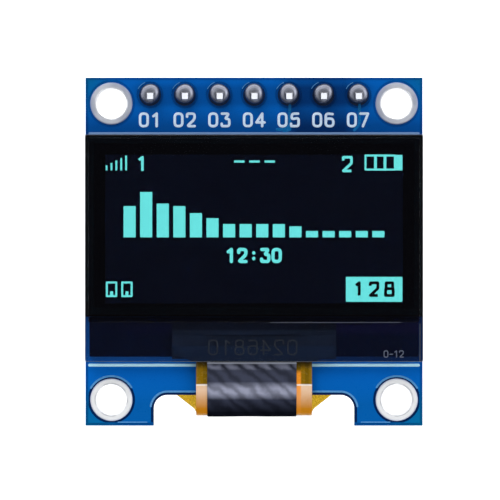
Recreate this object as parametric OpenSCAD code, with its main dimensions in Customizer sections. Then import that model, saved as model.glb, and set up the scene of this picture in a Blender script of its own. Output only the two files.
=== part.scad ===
// Small OLED display module: a glass panel on a blue circuit board, with a wrapped flex
// cable and a straight row of header pins.
// Frame: the origin is the centre of the four mounting holes on the board's rear face.
// +Z points out of the display, +Y points to the header, and +X is to the viewer's right.

/* [Board] */
// Thickness of the board
board_t = 1.2; // [1.0:0.1:1.6]
// Distance of each mounting hole's centre from the two nearest edges
hole_inset = 1.9; // [1.8:0.05:2.1]
// Diameter of the mounting holes, inside their plating
hole_d = 2.2; // [2.0:0.1:2.4]
// Outer diameter of the plated ring round a mounting hole
ring_d = 3.1; // [2.8:0.1:3.3]
// Gap between a mounting ring and the header's plastic housing
ring_gap = 0.01; // [0.01:0.01:0.3]
// Distance that the board stands out past the panel at each side; the panel is as wide as
// its picture with its borders, or as the header with its rings, whichever is wider
board_lip = 0; // [0:0.1:1]
// Height of the board's strip between the panel and the notch
strip_h = 2.45; // [2.3:0.05:2.8]
// Width of the notch that the flex cable wraps through
notch_w = 14.7; // [13:0.1:15.5]
// Depth of that notch from the bottom edge
notch_h = 2.25; // [2.1:0.05:2.6]
// Radius of the notch's two inner corners
notch_r = 1.0; // [0.5:0.1:1.2]
// Distance that the copper fill keeps from the board's edges
fill_inset = 0.2; // [0.1:0.05:0.3]
// Gap between the copper fill and a plated ring or pad
fill_gap = 0.18; // [0.1:0.02:0.2]
// Thickness of the copper fill, which stands out under the blue mask
fill_t = 0.035; // [0.02:0.005:0.07]
// Wall thickness of the plating in a drilled hole
plating_t = 0.05; // [0.03:0.01:0.08]
// Height of the tinned crown on a mounting ring
ring_crown = 0.07; // [0.04:0.01:0.1]

/* [Header] */
// Number of header pins
pin_count = 7; // [4:1:7]
// Distance from pin to pin
pin_pitch = 2.54; // [2.5:0.01:2.54]
// Distance of the pin row from the board's top edge
row_inset = 1.27; // [1.27:0.05:1.5]
// Side of a square pin
pin_side = 0.64; // [0.5:0.02:0.66]
// Reach of a pin above the board's front face
pin_front = 1.35; // [1.2:0.05:1.8]
// Reach of a pin below the plastic housing
pin_tail = 6.0; // [3:0.5:9]
// Length of the chamfer at each end of a pin
pin_point = 0.3; // [0.1:0.05:0.5]
// Thickness of the plastic housing
housing_t = 2.54; // [1.5:0.02:2.8]
// Depth of the plastic housing, across the row
housing_depth = 2.5; // [2.0:0.05:2.5]
// Corner cut between two segments of the housing
housing_cut = 0.4; // [0.2:0.05:0.6]
// Diameter of a header hole, inside its plating
pad_hole_d = 1.0; // [0.95:0.01:1.1]
// Outer diameter of a header pad
pad_d = 1.6; // [1.45:0.05:1.8]
// Thickness of a header pad on the board's faces
pad_t = 0.04; // [0.03:0.005:0.08]
// Height that the solder climbs up a pin
solder_h = 0.95; // [0.6:0.05:1.05]

/* [Panel] */
// Distance from the board's top edge to the panel's top edge
panel_drop = 4.2; // [4.0:0.05:4.4]
// Width of the glass beside the picture
side_border = 1.47; // [1.3:0.01:1.6]
// Height of the glass above the picture
top_border = 1.45; // [1.3:0.01:1.6]
// Height of the cap glass below the picture
bottom_border = 0.97; // [0.9:0.01:1.2]
// Thickness of the front glass
front_glass_t = 0.55; // [0.4:0.05:0.7]
// Thickness of the rear cap glass
cap_glass_t = 0.55; // [0.5:0.05:0.7]
// Width of the cap glass's rim round its etched pocket
cap_rim = 0.8; // [0.6:0.05:0.85]
// Depth of the pocket etched in the cap glass
pocket_d = 0.3; // [0.22:0.02:0.35]
// Thickness of the seal bead between the two glasses
seal_t = 0.04; // [0.03:0.01:0.08]
// Width of the seal bead
seal_w = 0.5; // [0.3:0.05:0.6]
// Thickness of the front polarizer film
film_t = 0.2; // [0.12:0.02:0.3]
// Reach of the polarizer film below the cap glass's lower edge
film_reach = 0.4; // [0.2:0.05:0.45]
// Margin of glass that shows beside and above the polarizer film
film_inset = 0.25; // [0.1:0.05:0.4]
// Thickness of the adhesive foam that holds the panel on the board
foam_t = 0.15; // [0.1:0.05:0.3]
// Margin of the adhesive foam inside the cap glass's edges
foam_inset = 0.9; // [0.5:0.1:1.5]
// Thickness of the moisture absorber in the cap's pocket
absorber_t = 0.12; // [0.08:0.02:0.14]
// Margin of the moisture absorber inside the picture's edges
absorber_inset = 0.1; // [0:0.05:0.5]
// Length of the driver chip on the ledge
chip_w = 6.8; // [5:0.1:8]
// Width of the driver chip on the ledge
chip_h = 0.86; // [0.7:0.02:0.9]
// Thickness of the driver chip
chip_t = 0.3; // [0.22:0.02:0.32]
// Gap between the cap glass and the driver chip
chip_gap = 0.45; // [0.3:0.05:0.6]
// Gap between the driver chip and the flex cable's head
chip_to_head = 0.84; // [0.6:0.02:1.0]

/* [Picture] */
// Distance from one dot of the display to the next
dot_pitch = 0.17; // [0.168:0.001:0.175]
// Thickness of the glowing layer
lit_t = 0.02; // [0.01:0.01:0.04]
// Thickness of the organic film behind it
emitter_t = 0.03; // [0.02:0.01:0.04]
// Dots across one bar of the chart
bar_dots = 5.6; // [4:0.1:6]
// Dark dots to the left of the chart
chart_left_dots = 7.7; // [6:0.1:12]
// Dark dots to the right of the chart
chart_right_dots = 7.75; // [6:0.1:12]
// Dots across one line of the small symbols
line_dots = 1.2; // [1:0.1:1.4]

/* [Flex cable] */
// Thickness of the flex cable
flex_t = 0.12; // [0.08:0.01:0.14]
// Width of the head that is bonded under the glass
head_w = 12; // [10:0.1:13]
// Length of the corner cut between the head and the neck, each way from the glass's edge
head_corner = 0.25; // [0.1:0.05:0.4]
// Length of glass that the head is bonded to
bond_l = 1.15; // [0.9:0.05:1.2]
// Width of the neck that wraps round the board
neck_w = 8.44; // [7.5:0.1:9]
// Width of film beside the first and last joints of the tail
tail_margin = 0.33; // [0.1:0.01:0.5]
// Straight length of the tail, below its flare
tail_l = 2.9; // [2.4:0.1:3.2]
// Distance from the panel's bottom edge to where the flex starts to bend
bend_start = 1.7; // [1.4:0.05:1.8]
// Reach of the bend beyond the notch's edge
bend_reach = 1.54; // [1.4:0.02:1.7]
// Turn of the bend's first, wide arc, in degrees
bend_turn = 38; // [34:1:44]
// Slope of the flare, in degrees from the neck's sides
flare_angle = 52; // [45:1:58]
// Radius between the neck and the flare
flare_r = 0.6; // [0.3:0.1:0.8]
// Distance from the notch's edge to where the flare starts
flare_start = 1.45; // [1.2:0.05:1.5]
// Number of solder joints along the tail
finger_count = 30; // [20:1:30]
// Distance from joint to joint
finger_pitch = 0.62; // [0.6:0.01:0.62]
// Width of one joint
finger_w = 0.36; // [0.2:0.02:0.4]
// Length of one joint under the tail
finger_l = 1.3; // [1.0:0.1:1.6]
// Height of the solder under the tail
finger_t = 0.08; // [0.05:0.01:0.12]
// Length of the solder toe past the tail's end
toe_l = 0.35; // [0.2:0.05:0.5]
// Width of the black cover tape on the neck
cover_w = 6.5; // [5:0.1:7]
// Distance that the cover tape's front end keeps from the glass
cover_gap = 0.05; // [0.02:0.01:0.1]
// Reach of the cover tape's rear end over the board, past the notch
cover_reach = 0.6; // [0.3:0.05:1]
// Thickness of the black cover tape
cover_t = 0.06; // [0.04:0.01:0.08]
// Width of the black tape behind the driver chip
shield_w = 12; // [9:0.1:13]
// Height of the tape's lower edge above the panel's bottom edge
shield_lift = 0.2; // [0.1:0.02:0.4]
// Thickness of that tape
shield_t = 0.05; // [0.03:0.01:0.06]

/* [Rear parts] */
// Number of chip capacitors in the row by the header
capacitor_row = 4; // [2:1:4]
// Distance from capacitor to capacitor in that row
capacitor_pitch = 2.2; // [2:0.1:2.3]
// Distance of that row from the board's top edge
capacitor_drop = 5.6; // [5.4:0.1:6]
// Distance of its first capacitor from the board's left edge
capacitor_side = 2.95; // [2.5:0.05:3.2]
// Distance of the regulator from the board's right edge
regulator_side = 4.45; // [4.0:0.05:4.8]
// Distance of the diode from the board's right edge
diode_side = 9.75; // [9.0:0.05:10.2]
// Number of chip capacitors in the row by the flex cable
spread_row = 4; // [2:1:4]
// Distance from capacitor to capacitor in that row
spread_pitch = 4.6; // [4.2:0.1:4.8]
// Distance of that row from the flex cable's tail
spread_gap = 3.2; // [2:0.1:3.6]
// Number of chip resistors
resistor_count = 8; // [4:1:8]
// Distance from resistor to resistor
resistor_pitch = 2.4; // [1.8:0.1:2.5]
// Distance of the resistor row from the board's top edge
resistor_drop = 10.2; // [9.6:0.1:11]
// Length of a chip part
chip_part_l = 1.6; // [1.4:0.05:1.7]
// Width of a chip part
chip_part_w = 0.8; // [0.6:0.05:0.9]
// Height of a chip capacitor
capacitor_t = 0.8; // [0.6:0.05:0.95]
// Height of a chip resistor
resistor_t = 0.45; // [0.35:0.05:0.6]
// Length of the metal end cap on a chip part
end_cap = 0.3; // [0.2:0.05:0.4]
// Length of the solder fillet at a chip part's end
fillet_l = 0.3; // [0.15:0.05:0.35]

/* [Hidden] */

$fn = 48;
eps = 0.01;
big = 60;

// Colours
mask_blue = [0.03, 0.33, 0.61];
ink_white = [0.86, 0.92, 0.97];
tin = [0.78, 0.79, 0.82];
black_plastic = [0.08, 0.08, 0.09];
glass_tint = [0.62, 0.72, 0.78, 0.45];
lit_aqua = [0.42, 0.88, 0.85];
amber = [0.78, 0.56, 0.12];
tape_grey = [0.22, 0.23, 0.28];
capacitor_tan = [0.62, 0.50, 0.38];
resistor_black = [0.13, 0.13, 0.15];

dots_across = 128;
dots_down = 64;

// Outlines that follow from the picture, the header and the flex cable
lit_w = dots_across * dot_pitch;
lit_h = dots_down * dot_pitch;
cap_h = top_border + lit_h + bottom_border;
panel_h = cap_h + chip_gap + chip_h + chip_to_head + bond_l;
header_w = pin_count * pin_pitch;
panel_w = max(lit_w + 2 * side_border, header_w + 2 * (ring_gap + ring_d / 2 + hole_inset));
board_w = panel_w + 2 * board_lip;
board_h = panel_drop + panel_h + strip_h + notch_h;
film_h = cap_h - film_inset + film_reach;
tail_w = (finger_count - 1) * finger_pitch + finger_w + 2 * tail_margin;

// Heights of the stack, from the board's rear face
fill_z = board_t + fill_t;
cap_z = fill_z + foam_t;
seal_z = cap_z + cap_glass_t;
front_glass_z = seal_z + seal_t;
film_z = front_glass_z + front_glass_t;

// Places on the board
hole_x = board_w / 2 - hole_inset;
hole_y = board_h / 2 - hole_inset;
row_y = board_h / 2 - row_inset;
notch_y = -board_h / 2 + notch_h;
panel_top = board_h / 2 - panel_drop;
panel_bottom = panel_top - panel_h;
cap_bottom = panel_top - cap_h;
head_y = panel_bottom + bond_l;
chip_bottom = head_y + chip_to_head;
chip_top = chip_bottom + chip_h;
shield_y = panel_bottom + shield_lift;
picture_left = -lit_w / 2;
picture_top = panel_top - top_border;

// Silkscreen frame round the panel
ink_t = 0.02;
ink_w = 0.17;
ink_gap_top = 0.02;
ink_gap_bottom = 0.18;
ink_margin = 0.02;

// Chart bars' heights in dots, falling away like a sound meter
bar_heights = [13.7, 19.8, 14.8, 13.7, 10.7, 8.5, 6, 6, 6, 6, 5, 3, 3, 3, 3, 3];
bar_base = 35.7;
bar_step = (dots_across - chart_left_dots - chart_right_dots - bar_dots)
         / (len(bar_heights) - 1);

// ---- small helpers ----

function pin_x(i) = (i - (pin_count - 1) / 2) * pin_pitch;

// Points of an arc in a plane, from angle a to angle b
function arc(centre, r, a, b, steps) =
    [for (i = [0:steps]) centre + r * [cos(a + (b - a) * i / steps),
                                       sin(a + (b - a) * i / steps)]];

function reversed(points) = [for (i = [len(points) - 1:-1:0]) points[i]];

// A slab that spans two corners in the board's plane, between two heights
module slab(low, high, z, t) {
    translate([low.x, low.y, z]) cube([high.x - low.x, high.y - low.y, t]);
}

// Draws its child at the four mounting holes
module at_corner(i) {
    x = (i % 2 == 1 ? -1 : 1) * hole_x;
    y = (i <= 2 ? 1 : -1) * hole_y;
    translate([x, y, 0]) children();
}

// Extrudes a profile of the plane (Y, Z) along X, centred
module along_x(width) {
    rotate([90, 0, 90]) translate([0, 0, -width / 2]) linear_extrude(width) children();
}

// ---- board ----

// Outline of the board, drawn in by inset, with round inner corners in the notch
module board_outline(inset) {
    r = notch_r + inset;
    half = notch_w / 2 + inset;
    top = notch_y + inset;
    difference() {
        translate([-board_w / 2 + inset, -board_h / 2 + inset])
            square([board_w - 2 * inset, board_h - 2 * inset]);
        translate([-half, -board_h]) square([2 * half, board_h + top - r]);
        translate([-half + r, -board_h]) square([2 * (half - r), board_h + top]);
        for (side = [-1, 1]) translate([side * (half - r), top - r]) circle(r);
    }
}

module circuit_board() color(mask_blue) difference() {
    union() {
        linear_extrude(board_t) board_outline(0);
        translate([0, 0, board_t - eps]) linear_extrude(fill_t + eps) difference() {
            board_outline(fill_inset);
            for (i = [1:4]) at_corner(i) circle(ring_d / 2 + fill_gap);
            for (i = [0:pin_count - 1]) translate([pin_x(i), row_y])
                circle(pad_d / 2 + fill_gap);
        }
    }
    for (i = [1:4]) at_corner(i) translate([0, 0, -1])
        cylinder(r = hole_d / 2 + plating_t, h = board_t + 2);
    for (i = [0:pin_count - 1]) translate([pin_x(i), row_y, -1])
        cylinder(r = pad_hole_d / 2 + plating_t, h = board_t + 2);
}

// Two white lines that mark where the panel lies
module silkscreen_front() color(ink_white) {
    half = board_w / 2 - fill_inset - ink_margin;
    top = panel_top + ink_gap_top;
    bottom = panel_bottom - ink_gap_bottom;
    slab([-half, top], [half, top + ink_w], fill_z, ink_t);
    slab([-half, bottom - ink_w], [half, bottom], fill_z, ink_t);
}

// Plated barrel with a tinned, crowned ring on both faces
module mount_ring() color(tin) {
    bore = hole_d / 2;
    mid = (bore + ring_d / 2) / 2;
    half = (ring_d / 2 - bore) / 2;
    crown = [for (i = [0:10]) [mid - half * cos(18 * i), ring_crown * sin(18 * i)]];
    front = [for (p = crown) [p.x, board_t + p.y]];
    rear = [for (p = reversed(crown)) [p.x, -p.y]];
    rotate_extrude() polygon(concat(
        front, [[bore + plating_t, board_t], [bore + plating_t, 0]], rear));
}

// Plated barrel with a flat pad on both faces
module header_pads() color(tin) for (i = [0:pin_count - 1]) translate([pin_x(i), row_y, 0])
    difference() {
        union() {
            for (z = [-pad_t, board_t]) translate([0, 0, z]) cylinder(d = pad_d, h = pad_t);
            cylinder(r = pad_hole_d / 2 + plating_t, h = board_t);
        }
        translate([0, 0, -1]) cylinder(d = pad_hole_d, h = board_t + 2);
    }

// ---- header ----

module header_housing() color(black_plastic) difference() {
    half_x = pin_pitch / 2;
    half_y = housing_depth / 2;
    translate([0, row_y, -pad_t - housing_t]) linear_extrude(housing_t)
        for (i = [0:pin_count - 1]) translate([pin_x(i), 0]) polygon([
            [-half_x, -half_y + housing_cut], [-half_x + housing_cut, -half_y],
            [half_x - housing_cut, -half_y], [half_x, -half_y + housing_cut],
            [half_x, half_y - housing_cut], [half_x - housing_cut, half_y],
            [-half_x + housing_cut, half_y], [-half_x, half_y - housing_cut]]);
    for (i = [0:pin_count - 1]) translate([pin_x(i), row_y, -pad_t - housing_t - 1])
        linear_extrude(housing_t + 2) square(pin_side, center = true);
}

// Outline of a pin seen from one side, with a chamfer at each end
module pin_profile() {
    half = pin_side / 2;
    tip = half / 2;
    low = -pad_t - housing_t - pin_tail;
    high = board_t + pin_front;
    polygon([[-half, low + pin_point], [-tip, low], [tip, low], [half, low + pin_point],
             [half, high - pin_point], [tip, high], [-tip, high], [-half, high - pin_point]]);
}

module header_pin(i) color(tin) translate([pin_x(i), row_y, 0]) intersection() {
    rotate([90, 0, 0]) translate([0, 0, -pin_side]) linear_extrude(2 * pin_side)
        pin_profile();
    along_x(2 * pin_side) pin_profile();
}

// Solder that fills the barrel and climbs the pin in a hollow cone
module solder_joint(i) color(tin) translate([pin_x(i), row_y, 0]) difference() {
    foot = pad_d / 2 - solder_margin;
    neck = pin_side * 0.78;
    base = board_t + pad_t;
    cone = [for (k = [0:8]) let (t = k / 8)
        [foot + (neck - foot) * (1 - pow(1 - t, 1.5)), base + solder_h * pow(t, 1.6)]];
    rotate_extrude() polygon(concat(
        [[0, -pad_t], [pad_hole_d / 2, -pad_t], [pad_hole_d / 2, base]],
        cone, [[0, base + solder_h]]));
    translate([0, 0, -1]) linear_extrude(board_t + pin_front + 2)
        square(pin_side, center = true);
}

// ---- panel ----

module mounting_foam() color(black_plastic)
    slab([-panel_w / 2 + foam_inset, cap_bottom + foam_inset],
         [panel_w / 2 - foam_inset, panel_top - foam_inset], fill_z, foam_t);

module cap_glass() color(glass_tint) difference() {
    slab([-panel_w / 2, cap_bottom], [panel_w / 2, panel_top], cap_z, cap_glass_t);
    slab([-panel_w / 2 + cap_rim, cap_bottom + cap_rim],
         [panel_w / 2 - cap_rim, panel_top - cap_rim], seal_z - pocket_d, pocket_d + 1);
}

module absorber_sheet() color([0.85, 0.82, 0.72])
    slab([picture_left + absorber_inset, picture_top - lit_h + absorber_inset],
         [-picture_left - absorber_inset, picture_top - absorber_inset],
         seal_z - pocket_d, absorber_t);

module seal_bead() color([0.75, 0.72, 0.6]) {
    outer = (cap_rim - seal_w) / 2;
    inner = outer + seal_w;
    difference() {
        slab([-panel_w / 2 + outer, cap_bottom + outer],
             [panel_w / 2 - outer, panel_top - outer], seal_z, seal_t);
        slab([-panel_w / 2 + inner, cap_bottom + inner],
             [panel_w / 2 - inner, panel_top - inner], seal_z - 1, seal_t + 2);
    }
}

module front_glass() color(glass_tint)
    slab([-panel_w / 2, panel_bottom], [panel_w / 2, panel_top],
         front_glass_z, front_glass_t);

module polarizer_film() color([0.05, 0.05, 0.07, 0.75])
    slab([-panel_w / 2 + film_inset, panel_top - film_inset - film_h],
         [panel_w / 2 - film_inset, panel_top - film_inset], film_z, film_t);

module emitter_film() color([0.1, 0.1, 0.12])
    slab([picture_left, picture_top - lit_h], [-picture_left, picture_top],
         front_glass_z - lit_t - emitter_t, emitter_t);

// A lit rectangle; left and top count in dots from the picture's top left corner
module lit(left, top, width, height) {
    translate([picture_left + left * dot_pitch, picture_top - (top + height) * dot_pitch,
               front_glass_z - lit_t])
        cube([width * dot_pitch, height * dot_pitch, lit_t]);
}

// A lit frame with an open middle
module lit_frame(left, top, width, height) {
    difference() {
        lit(left, top, width, height);
        translate([picture_left + (left + line_dots) * dot_pitch,
                   picture_top - (top + height - line_dots) * dot_pitch, 0])
            cube([(width - 2 * line_dots) * dot_pitch, (height - 2 * line_dots) * dot_pitch, 10]);
    }
}

module lit_segments() color(lit_aqua) {
    for (i = [0:len(bar_heights) - 1])
        lit(chart_left_dots + i * bar_step, bar_base - bar_heights[i], bar_dots,
            bar_heights[i]);
    for (i = [0:4]) lit(i * 2.1, 4.5 - 1.05 * i, line_dots, 2.4 + 1.05 * i);
    for (i = [0:2]) lit(55.2 + 6.55 * i, 2.35, 4.9, line_dots);
    for (i = [0:1]) lit_frame(0.3 + 6.6 * i, 54.6, 4.9, 6.7);
    for (i = [0:2]) lit_frame(111.5 + 4.1 * i, 0, 4.1 + line_dots, 6.9);
    lit(111.5 + 12.3 + line_dots, 0, 3, 6.9);
    lit(103.3, 52.4, 24.7, 11);
}

module driver_chip() color([0.3, 0.31, 0.34])
    slab([-chip_w / 2, chip_bottom], [chip_w / 2, chip_top], front_glass_z - chip_t, chip_t);

// Black tape that lies on the back of the chip and steps up to the flex cable's head
module chip_shield_tape() color(black_plastic) {
    low = front_glass_z - chip_t;
    high = front_glass_z - flex_t;
    step = chip_bottom - shield_t;
    along_x(shield_w) polygon([
        [chip_top, low - shield_t], [chip_top, low], [step, low], [head_y, high],
        [shield_y, high], [shield_y, high - shield_t],
        [head_y + shield_t, high - shield_t], [step - shield_t, low - shield_t]]);
}

// ---- flex cable ----

// Middle line of the bend: two arcs that turn the cable from the front level to the rear.
// Their radii follow from the bend's reach and the height between the levels.
front_level = front_glass_z - flex_t / 2;
rear_level = -finger_t - flex_t / 2;
bend_y = panel_bottom - bend_start;
bend_drop = front_level - rear_level;
bend_run = bend_y - (notch_y - bend_reach + flex_t / 2);
bend_det = sin(bend_turn) * (1 + cos(bend_turn))
         - (1 - sin(bend_turn)) * (1 - cos(bend_turn));
wide_r = (bend_run * (1 + cos(bend_turn)) - bend_drop * (1 - sin(bend_turn))) / bend_det;
tight_r = (bend_drop * sin(bend_turn) - bend_run * (1 - cos(bend_turn))) / bend_det;
wide_centre = [bend_y, front_level - wide_r];
tight_centre = wide_centre
             + (wide_r - tight_r) * [cos(90 + bend_turn), sin(90 + bend_turn)];
apex_y = tight_centre.x - tight_r;
tail_start = notch_y - flare_start + flare_r * sin(flare_angle)
           + (tail_w / 2 - neck_w / 2 - flare_r * (1 - cos(flare_angle)))
           / tan(flare_angle);
tail_end = tail_start + tail_l;

// The bend's line, moved outwards by out, with straight runs that end at two places
function bend_line(out, front_end, rear_end) = concat(
    [[front_end, front_level + out]],
    arc(wide_centre, wide_r + out, 90, 90 + bend_turn, 10),
    arc(tight_centre, tight_r + out, 90 + bend_turn, 270, 20),
    [[rear_end, rear_level - out]]);

// A strip that follows the bend, between two distances outwards from its middle line
module bent_strip(inside, outside, front_end, rear_end, width) {
    along_x(width) polygon(concat(
        bend_line(outside, front_end, rear_end),
        reversed(bend_line(inside, front_end, rear_end))));
}

// Half of the rear outline, from the bend up to the tail's end
function rear_half() = concat(
    [[neck_w / 2, apex_y - 1]],
    arc([neck_w / 2 + flare_r, notch_y - flare_start], flare_r, 180, 180 - flare_angle, 8),
    [[tail_w / 2, tail_start], [tail_w / 2, tail_end]]);

function mirrored(points) = [for (p = points) [-p.x, p.y]];

// Film with a wide bonded head, a neck that wraps round the board, and a flared tail
module flex_cable() color(amber) {
    split = tight_centre.y;
    front_half = [[neck_w / 2, apex_y - 1], [neck_w / 2, panel_bottom - head_corner],
                  [head_w / 2, panel_bottom + head_corner], [head_w / 2, head_y]];
    intersection() {
        bent_strip(-flex_t / 2, flex_t / 2, head_y, tail_end, tail_w);
        union() {
            translate([0, 0, split]) linear_extrude(big)
                polygon(concat(front_half, reversed(mirrored(front_half))));
            translate([0, 0, split - big]) linear_extrude(big + eps)
                polygon(concat(rear_half(), reversed(mirrored(rear_half()))));
        }
    }
}

// Black tape over the neck, from the glass's edge round to the rear
module flex_cover_tape() color(tape_grey)
    bent_strip(flex_t / 2, flex_t / 2 + cover_t, panel_bottom - cover_gap,
               notch_y + cover_reach, cover_w);

// One solder joint for each finger of the tail, with a toe that wets its end
module flex_solder() color(tin) {
    under = -finger_t;
    below = under - flex_t;
    for (i = [0:finger_count - 1])
        translate([(i - (finger_count - 1) / 2) * finger_pitch, 0, 0])
            along_x(finger_w) polygon([
                [tail_end - finger_l, 0], [tail_end + toe_l, 0],
                [tail_end + toe_l * 0.55, under * 0.9], [tail_end + toe_l * 0.2, below * 0.8],
                [tail_end, below], [tail_end, under], [tail_end - finger_l, under]]);
}

// ---- parts on the rear face ----

// Place and turn of each small part, in the board's plane
capacitor_places = concat(
    [for (i = [0:capacitor_row - 1])
        [-board_w / 2 + capacitor_side + i * capacitor_pitch,
         board_h / 2 - capacitor_drop, 90]],
    [for (i = [0:spread_row - 1])
        [(i - (spread_row - 1) / 2) * spread_pitch, tail_end + spread_gap, 0]]);
resistor_places = [for (i = [0:resistor_count - 1])
    [(i - (resistor_count - 1) / 2) * resistor_pitch, board_h / 2 - resistor_drop, 90]];
regulator_place = [board_w / 2 - regulator_side, board_h / 2 - capacitor_drop, 0];
diode_place = [board_w / 2 - diode_side, board_h / 2 - capacitor_drop, 0];

// Thickness of an end cap's metal, cut edge of a part, and solder's margin
cap_skin = 0.02;
part_edge = 0.06;
solder_margin = 0.02;

// Turns its child over onto the rear face and moves it to a place
module on_rear(place) {
    translate([place[0], place[1], 0]) rotate([180, 0, place[2]]) children();
}

// Bar along X with cut edges, standing on the plane
module cut_bar(length, width, height, cut) {
    half = width / 2;
    along_x(length) polygon([
        [-half, cut], [-half + cut, 0], [half - cut, 0], [half, cut],
        [half, height - cut], [half - cut, height], [-half + cut, height],
        [-half, height - cut]]);
}

// Chip part: a body between two metal end caps that stand a little proud
module chip_part(height) {
    translate([0, 0, cap_skin])
        cut_bar(chip_part_l - 2 * end_cap + 2 * eps, chip_part_w - 2 * cap_skin,
                height - 2 * cap_skin, part_edge / 2);
    for (side = [-1, 1]) translate([side * (chip_part_l - end_cap) / 2, 0, 0])
        cut_bar(end_cap, chip_part_w, height, part_edge);
}

module capacitor(i) color(capacitor_tan) on_rear(capacitor_places[i]) chip_part(capacitor_t);

module resistor(i) color(resistor_black) on_rear(resistor_places[i]) chip_part(resistor_t);

// Moulded block with drafted sides, its parting line at mid height
module moulded_block(length, width, low, high, draft) {
    mid = (low + high) / 2;
    intersection() {
        along_x(2 * length) polygon([
            [-width / 2 + draft, low], [width / 2 - draft, low], [width / 2, mid],
            [width / 2 - draft, high], [-width / 2 + draft, high], [-width / 2, mid]]);
        rotate([90, 0, 0]) translate([0, 0, -width]) linear_extrude(2 * width) polygon([
            [-length / 2 + draft, low], [length / 2 - draft, low], [length / 2, mid],
            [length / 2 - draft, high], [-length / 2 + draft, high], [-length / 2, mid]]);
    }
}

// Bent metal lead that leaves a body's side towards +Y and steps down to the board
module gull_lead(width, body_edge, foot_end, level) {
    knee = body_edge + lead_run;
    along_x(width) polygon([
        [body_edge, level + lead_t / 2], [knee + lead_t * 0.3, level + lead_t / 2],
        [knee + lead_t * 1.1, level - lead_t * 0.4], [knee + lead_t * 1.6, lead_t],
        [foot_end, lead_t], [foot_end, 0], [knee + lead_t, 0], [knee + lead_t * 0.5, lead_t * 0.5],
        [knee, level - lead_t / 2], [body_edge, level - lead_t / 2]]);
}

// Sizes of the two moulded parts and their leads
regulator_l = 2.9;
regulator_w = 1.3;
regulator_h = 1.1;
regulator_foot = 1.2;
regulator_leads_at = [[-0.95, -1], [0.95, -1], [0, 1]];
lead_w = 0.4;
lead_t = 0.12;
lead_run = 0.1;
body_lift = 0.08;
mould_draft = 0.07;

module regulator_body() color(black_plastic) on_rear(regulator_place)
    moulded_block(regulator_l, regulator_w, body_lift, regulator_h, mould_draft);

module regulator_leads() color(tin) on_rear(regulator_place)
    for (lead = regulator_leads_at)
        translate([lead[0], 0, 0]) rotate([0, 0, 90 - 90 * lead[1]])
            gull_lead(lead_w, regulator_w / 2, regulator_foot,
                      (body_lift + regulator_h) / 2);

diode_l = 1.7;
diode_w = 1.25;
diode_h = 0.9;
diode_foot = 1.25;

module diode_body() color(black_plastic) on_rear(diode_place)
    moulded_block(diode_l, diode_w, body_lift, diode_h, mould_draft);

module diode_leads() color(tin) on_rear(diode_place)
    for (turn = [90, -90]) rotate([0, 0, turn])
        gull_lead(lead_w, diode_l / 2, diode_foot, (body_lift + diode_h) / 2);

// Solder fillet that leans on a part's end at distance from its middle
module end_fillet(distance, width, height) {
    rotate([90, 0, 0]) translate([0, 0, -width / 2]) linear_extrude(width) polygon([
        [distance, 0], [distance + fillet_l, 0], [distance + fillet_l * 0.4, height * 0.3],
        [distance, height]]);
}

module chip_fillets(height) {
    for (turn = [0, 180]) rotate([0, 0, turn])
        end_fillet(chip_part_l / 2, chip_part_w - 2 * part_edge, height);
}

module part_solder() color(tin) {
    for (place = capacitor_places) on_rear(place) chip_fillets(capacitor_t * 0.5);
    for (place = resistor_places) on_rear(place) chip_fillets(resistor_t * 0.7);
    on_rear(regulator_place) for (lead = regulator_leads_at)
        translate([lead[0], 0, 0]) rotate([0, 0, 90 * lead[1]])
            end_fillet(regulator_foot, lead_w, lead_t);
    on_rear(diode_place) for (turn = [0, 180]) rotate([0, 0, turn])
        end_fillet(diode_foot, lead_w, lead_t);
}

// ---- nodes ----

circuit_board();
silkscreen_front();
for (i = [1:4])
    at_corner(i) mount_ring();
header_pads();
header_housing();
for (i = [1:pin_count]) {
    header_pin(i - 1);
    solder_joint(i - 1);
}
mounting_foam();
cap_glass();
absorber_sheet();
seal_bead();
emitter_film();
lit_segments();
driver_chip();
chip_shield_tape();
flex_cable();
flex_cover_tape();
flex_solder();
for (i = [1:capacitor_row + spread_row])
    capacitor(i - 1);
for (i = [1:resistor_count])
    resistor(i - 1);
regulator_body();
regulator_leads();
diode_body();
diode_leads();
part_solder();
front_glass();
polarizer_film();
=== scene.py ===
"""Finishes a small display module: a glass panel on a blue circuit board with a row of pins.

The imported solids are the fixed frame. Each operator dresses one piece or one group of like
pieces; sizes and colours that may be changed are in the property groups. Lengths in the
shape functions are in millimetres, and a mesh is put in metres when it is made.
"""

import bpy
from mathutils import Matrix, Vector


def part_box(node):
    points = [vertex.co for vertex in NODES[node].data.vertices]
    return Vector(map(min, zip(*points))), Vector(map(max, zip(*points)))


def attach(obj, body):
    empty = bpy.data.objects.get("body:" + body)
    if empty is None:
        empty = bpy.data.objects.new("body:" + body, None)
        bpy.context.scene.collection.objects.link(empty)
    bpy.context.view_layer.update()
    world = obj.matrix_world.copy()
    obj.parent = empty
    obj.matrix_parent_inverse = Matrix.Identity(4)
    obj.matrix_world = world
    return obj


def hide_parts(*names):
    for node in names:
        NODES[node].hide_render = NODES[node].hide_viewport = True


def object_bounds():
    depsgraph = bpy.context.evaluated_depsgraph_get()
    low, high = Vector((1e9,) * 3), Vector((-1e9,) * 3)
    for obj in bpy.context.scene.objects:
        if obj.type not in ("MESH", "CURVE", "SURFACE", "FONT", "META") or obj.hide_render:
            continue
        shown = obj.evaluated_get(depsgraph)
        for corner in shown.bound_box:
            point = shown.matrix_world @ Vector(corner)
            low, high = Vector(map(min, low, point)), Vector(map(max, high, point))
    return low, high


bl_info = {
    "name": "Display Module Finish",
    "version": (1, 0, 0),
    "blender": (4, 5, 0),
    "location": "View3D > Sidebar > Display Module",
    "description": "Dresses the display module's solids with its finished pieces and materials",
    "category": "Object",
}

import math

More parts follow.
